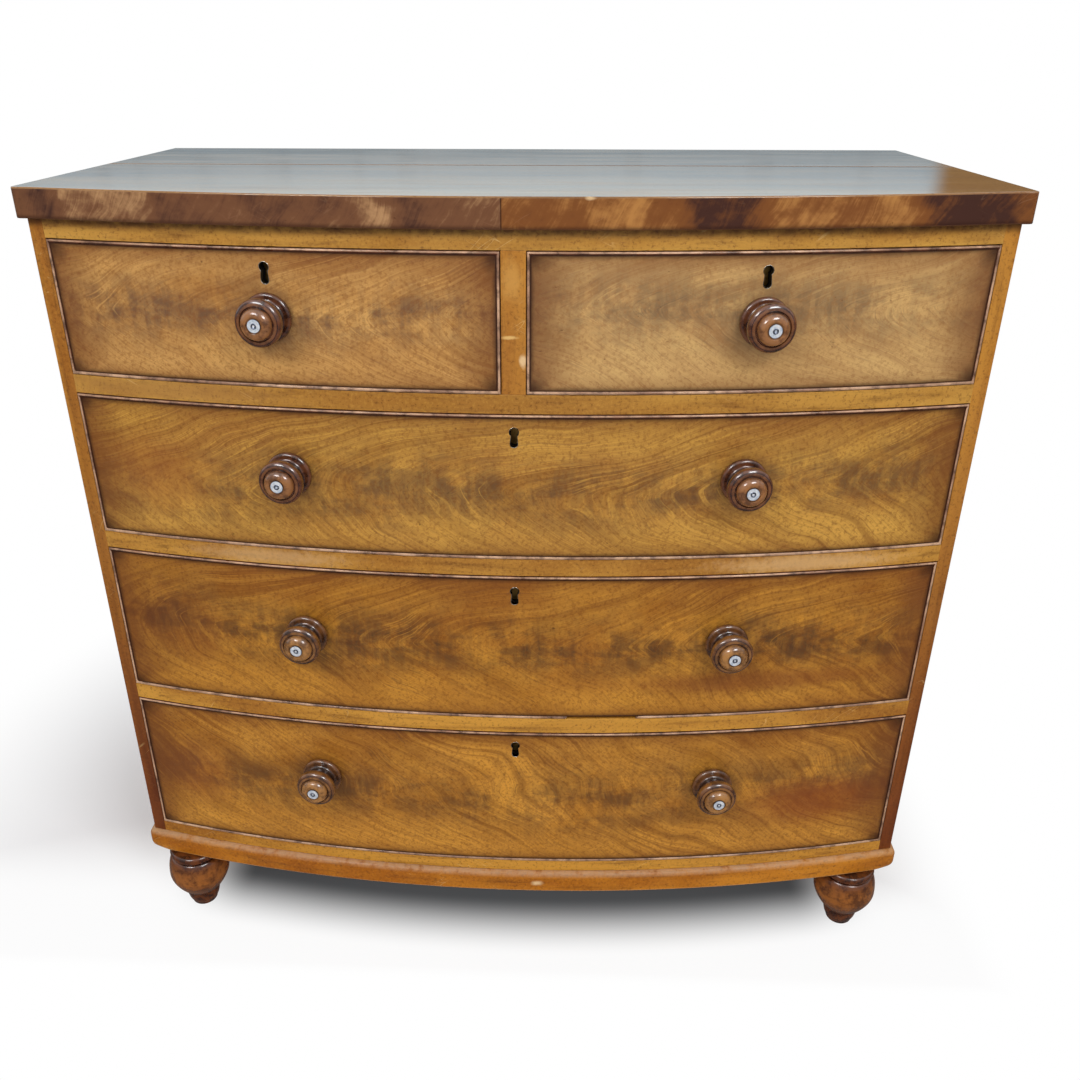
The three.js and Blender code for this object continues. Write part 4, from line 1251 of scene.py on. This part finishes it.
def top_material():
    """The polished top, two boards with a joint between them, and its veneered front edge in mixed cuts."""
    material, tree, shader, place = start_material("Top board polish")
    parts = split(place)
    face = use(
        GRAIN, vector=place, cells=(1.6, 22.0, 22.0), seed=5.0, contrast=0.6, pale=colour(182, 136, 82),
        deep=colour(146, 100, 56), dark=colour(78, 46, 26),
    )
    waver = times(centred(place, 4.0, 3.0), JOINT_WAVER)
    joint = calc("ABSOLUTE", plus(less(parts["Y"], BACK_Y - TOP_JOINT), waver))
    joint = ranged(joint, *JOINT_WIDTH, 1.0, 0.0)
    edge_tone = top_edge_tone(place, mixed(0.45, face["color"], colour(70, 36, 18)))
    on_edge = ranged(parts["Z"], cad_high.z - EDGE_START[0], cad_high.z - EDGE_START[1])
    tone = layered(
        face["color"], (times(joint, 0.85), DEEP_BROWN), (on_edge, edge_tone),
        (times(attribute(tree, "edge"), 0.55), colour(104, 66, 40)),
    )
    tone = patched(tone, place, [(CHIP_CENTRE, CHIP_SPREAD, BARE_CHIP, 0.75)], 0.8)
    marks = use(
        MARKS, color=tone, vector=place, dents=0.03, scratches=0.18, seed=3.0, dark=DEEP_BROWN,
        light=colour(190, 150, 110),
    )
    height = plus(times(joint, -12.0), times(marks["height"], 0.6))
    finish_surface(shader, marks["color"], height, TOP_BUMP, (0.07, 0.14), place)
    smeared = noise(place, (5.0, 40.0, 40.0), 31.0, 4.0, 0.6)
    wire(shader.inputs["Roughness"], plus(ranged(smeared, 0.35, 0.70, 0.06, 0.13), times(joint, 0.5)))
    return material


def bead_material():
    """The cock beads: dark brown polish with a painted highlight, in patches, along the part of each bead
    that faces up, dark along its edges, and dark nicks.
    """
    material, tree, shader, place = start_material("Cock bead")
    lift = attribute(tree, "lift")
    patchy = noise(place, 75.0, 4.0, 4.0, 0.65)
    stretches = noise(place, 16.0, 15.0, 3.0, 0.6)
    # A painted highlight on the part of the bead that faces up, broken into patches
    rub_and_light = times(ranged(lift, 0.34, 0.50), ranged(lift, 1.0, 0.94))
    rub_and_light = times(rub_and_light, ranged(patchy, 0.70, 0.42, 0.25, 1.0))
    rub_and_light = times(rub_and_light, ranged(stretches, 0.38, 0.60, 0.40, 1.0))
    nicks = ranged(noise(place, 160.0, 9.0, 3.0, 0.6), 0.66, 0.74)
    tone = layered(
        mixed(ranged(patchy, 0.35, 0.65), colour(104, 52, 30), colour(58, 24, 14)),
        (rub_and_light, colour(204, 164, 130)), (times(nicks, 0.7), colour(60, 28, 16)),
    )
    finish_surface(shader, tone, times(nicks, -1.0), BEAD_BUMP, (0.24, 0.40), place)
    return material


def turned_material(name, dark, body, pale_tone, hollow_tone, tall, coat, pale_shares):
    """Polished turned wood, darkest in its hollows and lighter where it is handled. On the feet the collar is
    kept dark as painted shade, and the lower knobs' paler copy is painted light.

    pale_shares tells how pale it is at shares of its height.
    """
    material, tree, shader, place = start_material(name)
    mottled = noise(place, 70.0, 2.0, 4.0, 0.68)
    rub_and_light = ramp(over(attribute(tree, "height"), tall), pale_shares)
    rub_and_light = times(rub_and_light, ranged(mottled, 0.36, 0.60, 0.30, 1.0))
    fine = noise(place, 420.0, 5.0, 3.0, 0.6)
    tone = layered(
        mixed(ranged(mottled, 0.34, 0.66), dark, body), (rub_and_light, pale_tone),
        (times(ranged(rub_and_light, 0.10, 0.0), 0.8), hollow_tone),
        (ranged(fine, 0.60, 0.75, 0.0, 0.4), hollow_tone),
    )
    finish_surface(shader, tone, fine, TURNED_BUMP, (0.16, 0.28), place, coat)
    return material


def bare_material(name, cells, pale, deep, dark, seed, shaded_holes=()):
    """Bare inside wood: straight grain, dusty in patches, without polish, and painted black round keyholes as
    the shade inside them.
    """
    material, tree, shader, place = start_material(name)
    grain = use(GRAIN, vector=place, cells=cells, seed=seed, contrast=0.55, pale=pale, deep=deep, dark=dark)
    dusty = ranged(noise(place, 5.0, seed, 4.0, 0.6), 0.45, 0.75, 0.0, 0.35)
    tone = mixed(dusty, grain["color"], colour(128, 108, 82))
    tone = patched(tone, place, [(hole, KEYHOLE_SHADE_SPREAD, colour(10, 7, 6), 1.0) for hole in shaded_holes], 0.1)
    finish_surface(shader, tone, grain["height"], BARE_BUMP, (0.62, 0.82), place)
    return material


def metal_material(name, bright, dull, roughness, cells, painted_shade_inside=False):
    """Old metal: tarnish in soft patches, duller where it lies, and painted black inside a lining, as the
    shade deep in the keyhole.
    """
    material, tree, shader, place = start_material(name)
    tarnish = noise(place, cells, 3.0, 4.0, 0.6)
    tone = mixed(ranged(tarnish, 0.35, 0.65), bright, dull)
    # Painted shade: black over the lining's inner wall behind its front lip
    if painted_shade_inside:
        tone = mixed(ranged(attribute(tree, "inside"), 0.0, 0.06), tone, colour(5, 4, 4))
    finish_surface(shader, tone, tarnish, METAL_BUMP, roughness, place)
    shader.inputs["Metallic"].default_value = 1.0
    return material


def pearl_material():
    """The pale discs: mother-of-pearl, white with faint cool and warm clouds under a clear gloss."""
    material, tree, shader, place = start_material("Pearl disc")
    cloud = noise(place, 190.0, 6.0, 3.0, 0.6)
    tone = layered(
        mixed(ranged(cloud, 0.35, 0.65), colour(212, 214, 216), colour(168, 178, 190)),
        (ranged(noise(place, 260.0, 12.0), 0.5, 0.7, 0.0, 0.5), colour(214, 204, 198)),
        (ranged(attribute(tree, "radius"), DISC_RADIUS * DISC_CLEAN_SHARE, DISC_RADIUS), DEEP_BROWN),
    )
    finish_surface(shader, tone, cloud, TURNED_BUMP, (0.18, 0.30), place, 0.6)
    return material


# The case: how its grain lies, and paler and darker places, each as its centre, spread, colour and strength

ACROSS_CELLS = (2.4, 40.0, 40.0)
UPRIGHT_CELLS = (40.0, 40.0, 2.4)
RAIL_PATCHES = (
    ((-0.40, -0.20, 0.8275), (0.20, 0.2, 0.020), colour(150, 104, 56), 0.5),
    ((0.35, -0.20, 0.6215), (0.16, 0.2, 0.016), colour(214, 172, 118), 0.6),
    ((-0.30, -0.20, 0.6215), (0.14, 0.2, 0.016), colour(208, 168, 116), 0.5),
)
UPRIGHT_PATCHES = (
    ((0.0105, -0.265, 0.8755), (0.006, 0.02, 0.010), BARE_CHIP, 0.9),
    ((-0.004, -0.265, 0.9015), (0.013, 0.02, 0.0030), colour(226, 184, 112), 0.8),
    ((-0.002, -0.265, 0.9625), (0.016, 0.02, 0.030), colour(206, 152, 74), 0.6),
)
PLINTH_PATCHES = (((0.03, -0.27, 0.1235), (0.012, 0.02, 0.006), BARE_CHIP, 0.9),)

# How pale turned wood is, at shares of its height. On the feet the collar under the plinth is kept dark as
# painted shade, with dirt; the lower knobs' shares are painted light
FOOT_WEAR_AND_SHADE_SHARES = (
    (0.0, 0.0), (0.04, 0.18), (0.22, 0.10), (0.26, 0.16), (0.40, 0.45), (0.58, 1.0), (0.74, 0.85),
    (0.84, 0.30), (0.885, 0.0), (0.91, 0.12), (0.97, 0.16),
)
KNOB_WORN_SHARES = (
    (0.0, 0.0), (0.06, 0.18), (0.18, 0.16), (0.24, 0.0), (0.40, 0.0), (0.56, 0.16), (0.68, 0.30),
    (0.79, 0.14), (0.803, 0.0), (0.815, 0.40), (0.90, 0.70), (0.97, 0.90),
)
# A paler copy for the two lower drawers' knobs: painted light, for the ceiling light that falls more on them
LIT_KNOB_PALE_SHARES = (
    (0.0, 0.0), (0.06, 0.25), (0.18, 0.25), (0.24, 0.0), (0.40, 0.0), (0.56, 0.18), (0.68, 0.55),
    (0.79, 0.20), (0.803, 0.0), (0.815, 0.50), (0.90, 0.80), (0.97, 1.0),
)


def finish_node(name, material):
    """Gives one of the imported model's own solids its material."""
    node = nodes[name]
    if not node.material_slots:
        node.data.materials.append(material)
    for place in node.material_slots:
        place.material = material


def make_stops(name, middles, shelf_z, material):
    """Small blocks glued behind a rail's front edge, which the drawer front comes to rest against."""
    for middle in middles:
        side = "left" if middle < 0 else "right"
        near = float(bow_y(abs(middle) + STOP_WIDTH / 2, -FRONT_THICKNESS)) + FIT_GAP
        label = name + "_stop_" + side + ("_outer" if abs(middle) > LONG_KNOB_X else "")
        left, right = middle - STOP_WIDTH / 2, middle + STOP_WIDTH / 2
        board(
            label, left, right, straight(near), straight(near + STOP_DEPTH), shelf_z, shelf_z + STOP_HEIGHT,
            CASE_EASE, material, "carcass", splits=0, slot="oak",
        )


def cut_bolt_slots(rail, drawers):
    """Cuts the slots in a rail that the bolts below it rise into: each bolt's own box with room around it."""
    corners = np.array([[x, y, z] for x in (-1, 1) for y in (-1, 1) for z in (-1, 1)])
    faces = [(0, 1, 3, 2), (4, 6, 7, 5), (0, 4, 5, 1), (2, 3, 7, 6), (0, 2, 6, 4), (1, 5, 7, 3)]
    for drawer in drawers:
        low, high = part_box(drawer + "_lock_bolt")
        half = (high - low) / 2 + Vector((BOLT_ROOM, BOLT_ROOM, BOLT_TRAVEL + BOLT_ROOM))
        points = corners * np.array(half) + np.array((low + high) / 2)
        mesh = bpy.data.meshes.new(drawer + "_bolt_slot")
        mesh.from_pydata(points.tolist(), [], faces)
        block = bpy.data.objects.new(drawer + "_bolt_slot", mesh)
        bpy.context.scene.collection.objects.link(block)
        cut = rail.modifiers.new("bolt slot", "BOOLEAN")
        cut.operation = "DIFFERENCE"
        cut.solver = "EXACT"
        cut.object = block
        shaped = rail.evaluated_get(bpy.context.evaluated_depsgraph_get())
        solid = bpy.data.meshes.new_from_object(shaped)
        rail.modifiers.clear()
        rail.data = solid
        bpy.data.objects.remove(block)


def make_case():
    """The top, the sides, the rails, the bottom board and the divider, with their show wood."""
    across = case_material(
        "Show wood across", ACROSS_CELLS, 4.0, colour(196, 146, 64), colour(160, 108, 40),
        colour(208, 148, 54), colour(162, 102, 32), RAIL_PATCHES,
    )
    upright = case_material(
        "Show wood upright", UPRIGHT_CELLS, 9.0, colour(192, 132, 50), colour(150, 90, 28),
        colour(138, 72, 24), colour(92, 40, 14), UPRIGHT_PATCHES,
    )
    plinth_wood = case_material(
        "Plinth mahogany", ACROSS_CELLS, 14.0, colour(206, 134, 36), colour(166, 94, 16),
        colour(206, 132, 32), colour(164, 92, 14), PLINTH_PATCHES, PLINTH_HIGHLIGHT,
    )
    top_low, top_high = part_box("top_board")[0].z, cad_high.z
    reach = CASE_HALF + TOP_OVERHANG
    board(
        "top_board_polished", -reach, reach, top_front, straight(BACK_Y), top_low, top_high, TOP_EASE,
        top_material(), "carcass", splits=5, turned=TOP_CORNER, replaced=["top_board"], slot="top_veneer",
    )
    side_low, side_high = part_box("side_right")[0].z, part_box("side_right")[1].z
    side_back = straight(BACK_Y - SIDE_SHORT)
    for side, left in (("side_right", INNER_HALF), ("side_left", -CASE_HALF)):
        right = left + CASE_HALF - INNER_HALF
        board(
            side + "_shaped", left, right, bow_front(0.0), side_back, side_low, side_high, CASE_EASE,
            upright, "carcass", splits=0, replaced=[side], slot="case_mahogany",
        )
    end = INNER_HALF + RAIL_LET_IN
    rails = [("top_rail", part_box("top_rail")[0].z, side_high, ("short_drawer_left", "short_drawer_right"))]
    for place in ("upper", "middle", "lower"):
        low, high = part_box("dust_board_" + place)
        rails.append(("drawer_rail_" + place, low.z, high.z, (place + "_drawer",)))
    for rail, low, high, locked in rails:
        shaped = board(
            rail + "_shaped", -end, end, bow_front(-RAIL_SET_BACK), straight(RAIL_BACK_Y), low, high,
            CASE_EASE, across, "carcass", splits=1, replaced=[rail], slot="case_mahogany",
        )
        cut_bolt_slots(shaped, locked)
    bottom_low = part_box("bottom_board")[0].z
    bottom_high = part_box("bottom_board")[1].z - STOP_HEIGHT
    board(
        "bottom_board_shaped", -end, end, bow_front(-RAIL_SET_BACK), straight(BACK_INSIDE_Y), bottom_low,
        bottom_high, CASE_EASE, across, "carcass", splits=1, replaced=["bottom_board"], slot="case_mahogany",
    )
    divider_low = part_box("dust_board_upper")[1].z
    board(
        "centre_divider_shaped", -DIVIDER_HALF, DIVIDER_HALF, bow_front(0.0), straight(RAIL_BACK_Y),
        divider_low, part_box("top_rail")[0].z, CASE_EASE, upright, "carcass", splits=0,
        replaced=["centre_divider"], slot="case_mahogany",
    )
    near, far = SHORT_KNOB_X - SHORT_STOP_STEP, SHORT_KNOB_X + SHORT_STOP_STEP
    long_stops = (-LONG_STOP_X, LONG_STOP_X)
    make_stops("upper_rail", (-near, -far, near, far), divider_low, OAK)
    make_stops("middle_rail", long_stops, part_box("dust_board_middle")[1].z, OAK)
    make_stops("lower_rail", long_stops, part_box("dust_board_lower")[1].z, OAK)
    make_stops("bottom", long_stops, bottom_high, OAK)
    make_plinth(plinth_wood)
    for name in ("top_back_rail", "dust_board_upper", "dust_board_middle", "dust_board_lower"):
        finish_node(name, PINE)
    finish_node("back_panel", PINE_UPRIGHT)
    finish_node("centre_guide", OAK)


def make_feet():
    """The four turned feet, each set where the solid foot stands."""
    # The feet are kept dark at the collar under the plinth: painted shade, with dirt
    polish = turned_material(
        "Foot mahogany", colour(50, 18, 10), colour(96, 46, 18), colour(158, 94, 34), colour(30, 11, 7),
        FOOT_HEIGHT, 0.45, FOOT_WEAR_AND_SHADE_SHARES,
    )
    for name in ("foot_front_left", "foot_front_right", "foot_back_left", "foot_back_right"):
        low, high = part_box(name)
        place = Matrix.Translation(((low.x + high.x) / 2, (low.y + high.y) / 2, 0.0))
        turned_piece(
            name + "_turned", foot_profile(), FOOT_SIDES, place, polish, "carcass",
            replaced=[name], slot="case_mahogany",
        )


# The drawers

def make_drawer(name, knobs, veneer, polish, seed, loss=None):
    """One drawer: its veneer, beads, keyhole lining, knobs, discs and pins, and the finish of its solids."""
    low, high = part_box(name + "_cock_bead")
    left, right = low.x, high.x
    hole_x = (left + right) / 2
    hole_z = high.z - KEYHOLE_DROP
    tuck = BEAD_WIDTH - VENEER_TUCK
    edges = (left + tuck, right - tuck, low.z + tuck, high.z - tuck)
    veneer_sheet(name + "_veneer", *edges, hole_x, hole_z, veneer, name)
    bead_frame(name + "_beads", left, right, low.z, high.z, BEAD, name, [name + "_cock_bead"], seed, loss)
    keyhole_lining(name + "_keyhole_lining", hole_x, hole_z, LINING, name)
    for knob in knobs:
        knob_low, knob_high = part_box(knob)
        centre_z = (knob_low.z + knob_high.z) / 2
        middle = (knob_low.x + knob_high.x) / 2
        reach = LONG_KNOB_X if len(knobs) > 1 else SHORT_KNOB_X
        place = seat_on_bow(math.copysign(reach, middle), centre_z)
        turned_piece(
            knob + "_turned", knob_profile(), KNOB_SIDES, place, polish, name, replaced=[knob],
            slot="knob_mahogany",
        )
        turned_piece(knob + "_disc", disc_profile(), KNOB_SIDES, place, PEARL, name)
        turned_piece(knob + "_pin", pin_profile(), KNOB_SIDES // 2, place, PIN, name, slot="lock_iron")
    finish_node(name + "_front", FRONT_CORE)
    finish_node(name + "_box", OAK)
    finish_node(name + "_bottom", PINE)
    finish_node(name + "_lock_case", IRON)
    finish_node(name + "_lock_bolt", BRASS)


# How far the painted shade and hand dirt round the knobs, and the stains, spread: a depth of 5 m takes in the
# whole front, however it bows
STAIN_DEPTH = 5.0
KNOB_SHADE_AND_DIRT_SPREAD = (0.055, STAIN_DEPTH, 0.050)
KNOB_SHADE_AND_DIRT_DROP = 0.006

# Each drawer's cut of veneer: upper and lower sweep, seed, four tones, dull band and contrast; the places of
# its knobs, round which shade and hand dirt are painted; its stains, each as x, height over the front's
# middle, half width, half height, tone, strength
DRAWERS = (
    ("short_drawer_left", (0.20, 0.11), 3.1, (
        colour(212, 162, 92), colour(178, 126, 64), colour(130, 78, 34), colour(100, 72, 54),
    ), 0.90, 0.60, [-SHORT_KNOB_X], ()),
    ("short_drawer_right", (0.24, 0.15), 8.7, (
        colour(206, 166, 104), colour(187, 144, 88), colour(150, 104, 60), colour(110, 86, 62),
    ), 0.80, 0.50, [SHORT_KNOB_X], ()),
    ("upper_drawer", (0.30, 0.13), 15.2, (
        colour(209, 157, 68), colour(177, 123, 52), colour(118, 68, 22), colour(88, 62, 42),
    ), 0.78, 0.78, [-LONG_KNOB_X, LONG_KNOB_X], (
        (-0.44, 0.0, 0.10, 0.075, colour(142, 78, 30), 0.45),
    )),
    ("middle_drawer", (0.26, 0.14), 21.9, (
        colour(202, 140, 48), colour(162, 102, 30), colour(112, 60, 14), colour(76, 50, 30),
    ), 0.90, 0.90, [-LONG_KNOB_X, LONG_KNOB_X], (
        (0.30, -0.052, 0.24, 0.022, colour(126, 66, 24), 0.55),
        (-0.44, 0.010, 0.10, 0.070, colour(112, 60, 26), 0.45),
    )),
    ("lower_drawer", (-0.12, 0.15), 33.4, (
        colour(214, 150, 56), colour(174, 113, 36), colour(114, 62, 14), colour(84, 56, 34),
    ), 0.75, 1.0, [-LONG_KNOB_X, LONG_KNOB_X], (
        (0.42, -0.020, 0.16, 0.055, colour(132, 62, 22), 0.62),
        (-0.46, 0.0, 0.09, 0.075, colour(136, 72, 30), 0.40),
    )),
)


def make_drawers():
    """The two short drawers and the three long ones, each with its own cut of veneer."""
    for name, sweeps, seed, tones, band, contrast, centres, stains in DRAWERS:
        low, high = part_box(name + "_cock_bead")
        middle, half = (low.z + high.z) / 2, (high.z - low.z) / 2
        knobs = [name + "_knob_left", name + "_knob_right"]
        if len(centres) == 1:
            middle += SHORT_BAND_LIFT
            knobs = [name + "_knob"]
        knob_low, knob_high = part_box(knobs[0])
        # The painted shade of each knob, with hand dirt, lies on the front just below it, in the veneer's
        # dark tone
        handled = (knob_low.z + knob_high.z) / 2 - KNOB_SHADE_AND_DIRT_DROP
        spots = [((x, 0.0, handled), KNOB_SHADE_AND_DIRT_SPREAD, tones[3], 0.45) for x in centres]
        for x, rise, wide, tall, tone, strength in stains:
            spots.append(((x, 0.0, middle + rise), (wide, STAIN_DEPTH, tall), tone, strength))
        label = name.replace("_", " ").capitalize() + " veneer"
        veneer = veneer_material(label, middle, half, sweeps, seed, tones, band, contrast, spots)
        loss = (BEAD_LOSS_START, BEAD_LOSS_END) if name == "middle_drawer" else None
        # The two lower drawers' knobs take the paler copy, which is painted light
        polish = LIT_KNOB if name in ("middle_drawer", "lower_drawer") else KNOB
        make_drawer(name, knobs, veneer, polish, seed, loss)


# Finishes that several pieces share, and how many cells of grain fit in a metre of each wood along x, y and z

PINE_CELLS = (2.2, 30.0, 30.0)
PANEL_CELLS = (24.0, 24.0, 1.8)
OAK_CELLS = (40.0, 2.6, 40.0)
CORE_CELLS = (2.2, 34.0, 34.0)

PINE = bare_material(
    "Bare pine", PINE_CELLS, colour(206, 172, 122), colour(176, 138, 90), colour(120, 82, 46), 2.0,
)
PINE_UPRIGHT = bare_material(
    "Bare pine upright", PANEL_CELLS, colour(196, 162, 114), colour(166, 128, 84), colour(104, 70, 40), 4.0,
)
OAK = bare_material(
    "Bare oak", OAK_CELLS, colour(186, 150, 102), colour(156, 120, 76), colour(98, 68, 40), 6.0,
)
# Black painted on the fronts' core round each keyhole, as the shade inside the hole
KEYHOLE_SHADE_SPREAD = (0.050, STAIN_DEPTH, 0.055)
KEYHOLE_SHADE_PLACES = (
    ("upper_drawer", 0.0), ("middle_drawer", 0.0), ("lower_drawer", 0.0),
    ("short_drawer_left", -SHORT_KNOB_X), ("short_drawer_right", SHORT_KNOB_X),
)
FRONT_CORE = bare_material(
    "Drawer front core", CORE_CELLS, colour(178, 130, 82), colour(146, 100, 60), colour(92, 56, 32), 11.0,
    [(x, 0.0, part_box(drawer + "_cock_bead")[1].z - KEYHOLE_DROP) for drawer, x in KEYHOLE_SHADE_PLACES],
)
IRON = metal_material("Lock iron", colour(62, 56, 52), colour(34, 29, 26), (0.42, 0.62), 60.0)
BRASS = metal_material("Lock brass", colour(206, 170, 98), colour(140, 104, 52), (0.30, 0.50), 80.0)
LINING = metal_material("Keyhole lining", colour(214, 208, 196), colour(96, 84, 70), (0.16, 0.30), 90.0, True)
PIN = metal_material("Knob pin", colour(150, 158, 176), colour(92, 96, 112), (0.28, 0.46), 300.0)
BEAD = bead_material()
PEARL = pearl_material()
KNOB = turned_material(
    "Knob mahogany", colour(52, 22, 15), colour(92, 46, 28), colour(156, 104, 58), colour(20, 8, 6),
    KNOB_HEIGHT, 1.0, KNOB_WORN_SHARES,
)
# Painted light: a paler copy of the knob finish for the lower knobs
LIT_KNOB = turned_material(
    "Lit knob mahogany", colour(50, 22, 13), colour(92, 48, 25), colour(172, 120, 62), colour(20, 8, 5),
    KNOB_HEIGHT, 1.0, LIT_KNOB_PALE_SHARES,
)

make_case()
make_feet()
make_drawers()


# The studio: a pale floor, soft light from above and in front, and the camera where the photograph was taken

def chosen(share, first, second):
    """Two shaders mixed by a share."""
    return put(share.id_data, "MixShader", {0: share, 1: first, 2: second}).outputs[0]


def make_floor():
    """A pale floor that fades to white around the chest, with a painted shadow under the chest that the
    camera sees over its real shade near by and glowing alone further out, and dim brown in its polish.
    """
    mesh = bpy.data.meshes.new("studio_floor")
    reach = FLOOR_REACH
    corners = [(-reach, -reach, 0), (reach, -reach, 0), (reach, reach, 0), (-reach, reach, 0)]
    mesh.from_pydata(corners, [], [(0, 1, 2, 3)])
    material, tree, shader, place = start_material("Studio floor")
    pale = mixed(noise(place, 0.8, 1.0), colour(236, 238, 240), colour(232, 233, 236))
    wire(shader.inputs["Base Color"], pale)
    shader.inputs["Roughness"].default_value = 0.9
    shader.inputs["Specular IOR Level"].default_value = 0.0
    parts = split(place)
    # The painted shadow: deepest under the chest's bowed front and between its sides, gone at its back
    bowed = over(calc("POWER", parts["X"], 2.0), 2 * BOW_RADIUS)
    behind = less(less(parts["Y"], bowed), SHADE_FRONT)
    within = less(SHADE_SIDE, calc("ABSOLUTE", parts["X"]))
    deep = times(ranged(behind, 0.0, SHADE_REACH), ranged(within, 0.0, SHADE_SIDE_REACH))
    deep = times(deep, ranged(parts["Y"], BACK_Y, BACK_Y - SHADE_REACH))
    shade = mixed(deep, WHITE, FLOOR_PAINTED_SHADOW)
    photographed = put(tree, "BsdfDiffuse", {"Color": shade}).outputs[0]
    white = put(tree, "Emission", {"Color": shade, "Strength": 1.0}).outputs[0]
    far = greatest(
        ranged(length_of(place), FLOOR_NEAR, FLOOR_FAR),
        ranged(parts["Y"], LIT_FLOOR_BACK, LIT_FLOOR_FRONT, 0.0, LIT_FLOOR_SHARE),
        ranged(parts["X"], LIT_FLOOR_LEFT, LIT_FLOOR_RIGHT),
        ranged(parts["Y"], CLEAR_FLOOR_BACK, CLEAR_FLOOR_FRONT),
    )
    in_shine = put(tree, "BsdfDiffuse", {"Color": FLOOR_IN_SHINE}).outputs[0]
    light = put(tree, "LightPath").outputs
    unseen = chosen(light["Is Glossy Ray"], shader.outputs[0], in_shine)
    surface = chosen(light["Is Camera Ray"], unseen, chosen(far, photographed, white))
    wire(tree.nodes["Material Output"].inputs["Surface"], surface)
    mesh.materials.append(material)
    floor = bpy.data.objects.new("studio_floor", mesh)
    bpy.context.scene.collection.objects.link(floor)


def soft_light(name, place, aim, width, height, watts, tint):
    """A large soft lamp that faces the point it is aimed at. Returns its holder."""
    lamp = bpy.data.lights.new(name, "AREA")
    lamp.shape = "RECTANGLE"
    lamp.size, lamp.size_y = width, height
    lamp.energy = watts
    lamp.color = tint
    holder = bpy.data.objects.new(name, lamp)
    bpy.context.scene.collection.objects.link(holder)
    holder.location = place
    holder.rotation_euler = (Vector(aim) - Vector(place)).to_track_quat("-Z", "Y").to_euler()
    return holder


def make_lights():
    """Two windows, a broad front light that polish doesn't show, and two panels that only polish shows."""
    soft_light("right window", *RIGHT_WINDOW)
    soft_light("left window", *LEFT_WINDOW)
    soft_light("front", *FRONT_LIGHT).visible_glossy = False
    for side in (-1, 1):
        soft_light("shine", (side * PANEL_X, PANEL_Y, PANEL_Z), *PANEL).visible_diffuse = False


def make_world():
    """Even light for the chest; what the camera sees is white, and shine sees white that dims low down."""
    world = bpy.data.worlds.new("Studio")
    bpy.context.scene.world = world
    world.use_nodes = True
    tree = world.node_tree
    tree.nodes.clear()
    parts = split(put(tree, "TexCoord").outputs["Generated"])
    sky = ramp(times(parts["Z"], 1 / SKY_TOP), SKY_SHARES)
    sideways = over(parts["X"], greatest(parts["Y"], 0.05))
    bars_place = put(tree, "CombineXYZ", {"X": times(sideways, 24.0)}).outputs[0]
    bars = ranged(noise(bars_place, 1.0, 2.0, 2.0, 0.6), 0.48, 0.64, 0.0, 0.40)
    bars = times(bars, ranged(parts["Z"], 0.108, 0.090))
    aside = times(ranged(sideways, 0.338, 0.362), ranged(parts["Z"], 0.35, 0.15))
    facing = times(ranged(parts["Y"], 0.1, -0.3), ranged(parts["Z"], 0.85, 0.35))
    in_polish = layered(sky, (bars, BAR_TONE), (aside, ASIDE_TONE), (facing, FACING_TONE))
    shine, even, white = (
        put(tree, "Background", {"Color": tone, "Strength": level}).outputs[0]
        for tone, level in ((in_polish, 1.0), (EVEN_TONE, WORLD_LEVEL), (WHITE, 1.0))
    )
    light = put(tree, "LightPath").outputs
    unseen = chosen(light["Is Glossy Ray"], even, shine)
    put(tree, "OutputWorld", {"Surface": chosen(light["Is Camera Ray"], unseen, white)})


def make_camera():
    """The camera's place, tilt and lens, fitted to the photograph without any distortion."""
    lens = bpy.data.cameras.new("Photograph view")
    lens.sensor_width = SENSOR_WIDTH
    lens.lens = LENS_LENGTH
    lens.shift_x = LENS_SHIFT
    camera = bpy.data.objects.new("Photograph view", lens)
    bpy.context.scene.collection.objects.link(camera)
    camera.location = CAMERA_PLACE
    camera.rotation_euler = (CAMERA_TILT, 0.0, CAMERA_TURN)
    bpy.context.scene.camera = camera


make_floor()
make_world()
make_lights()
make_camera()
bpy.context.scene.view_settings.view_transform = "Standard"
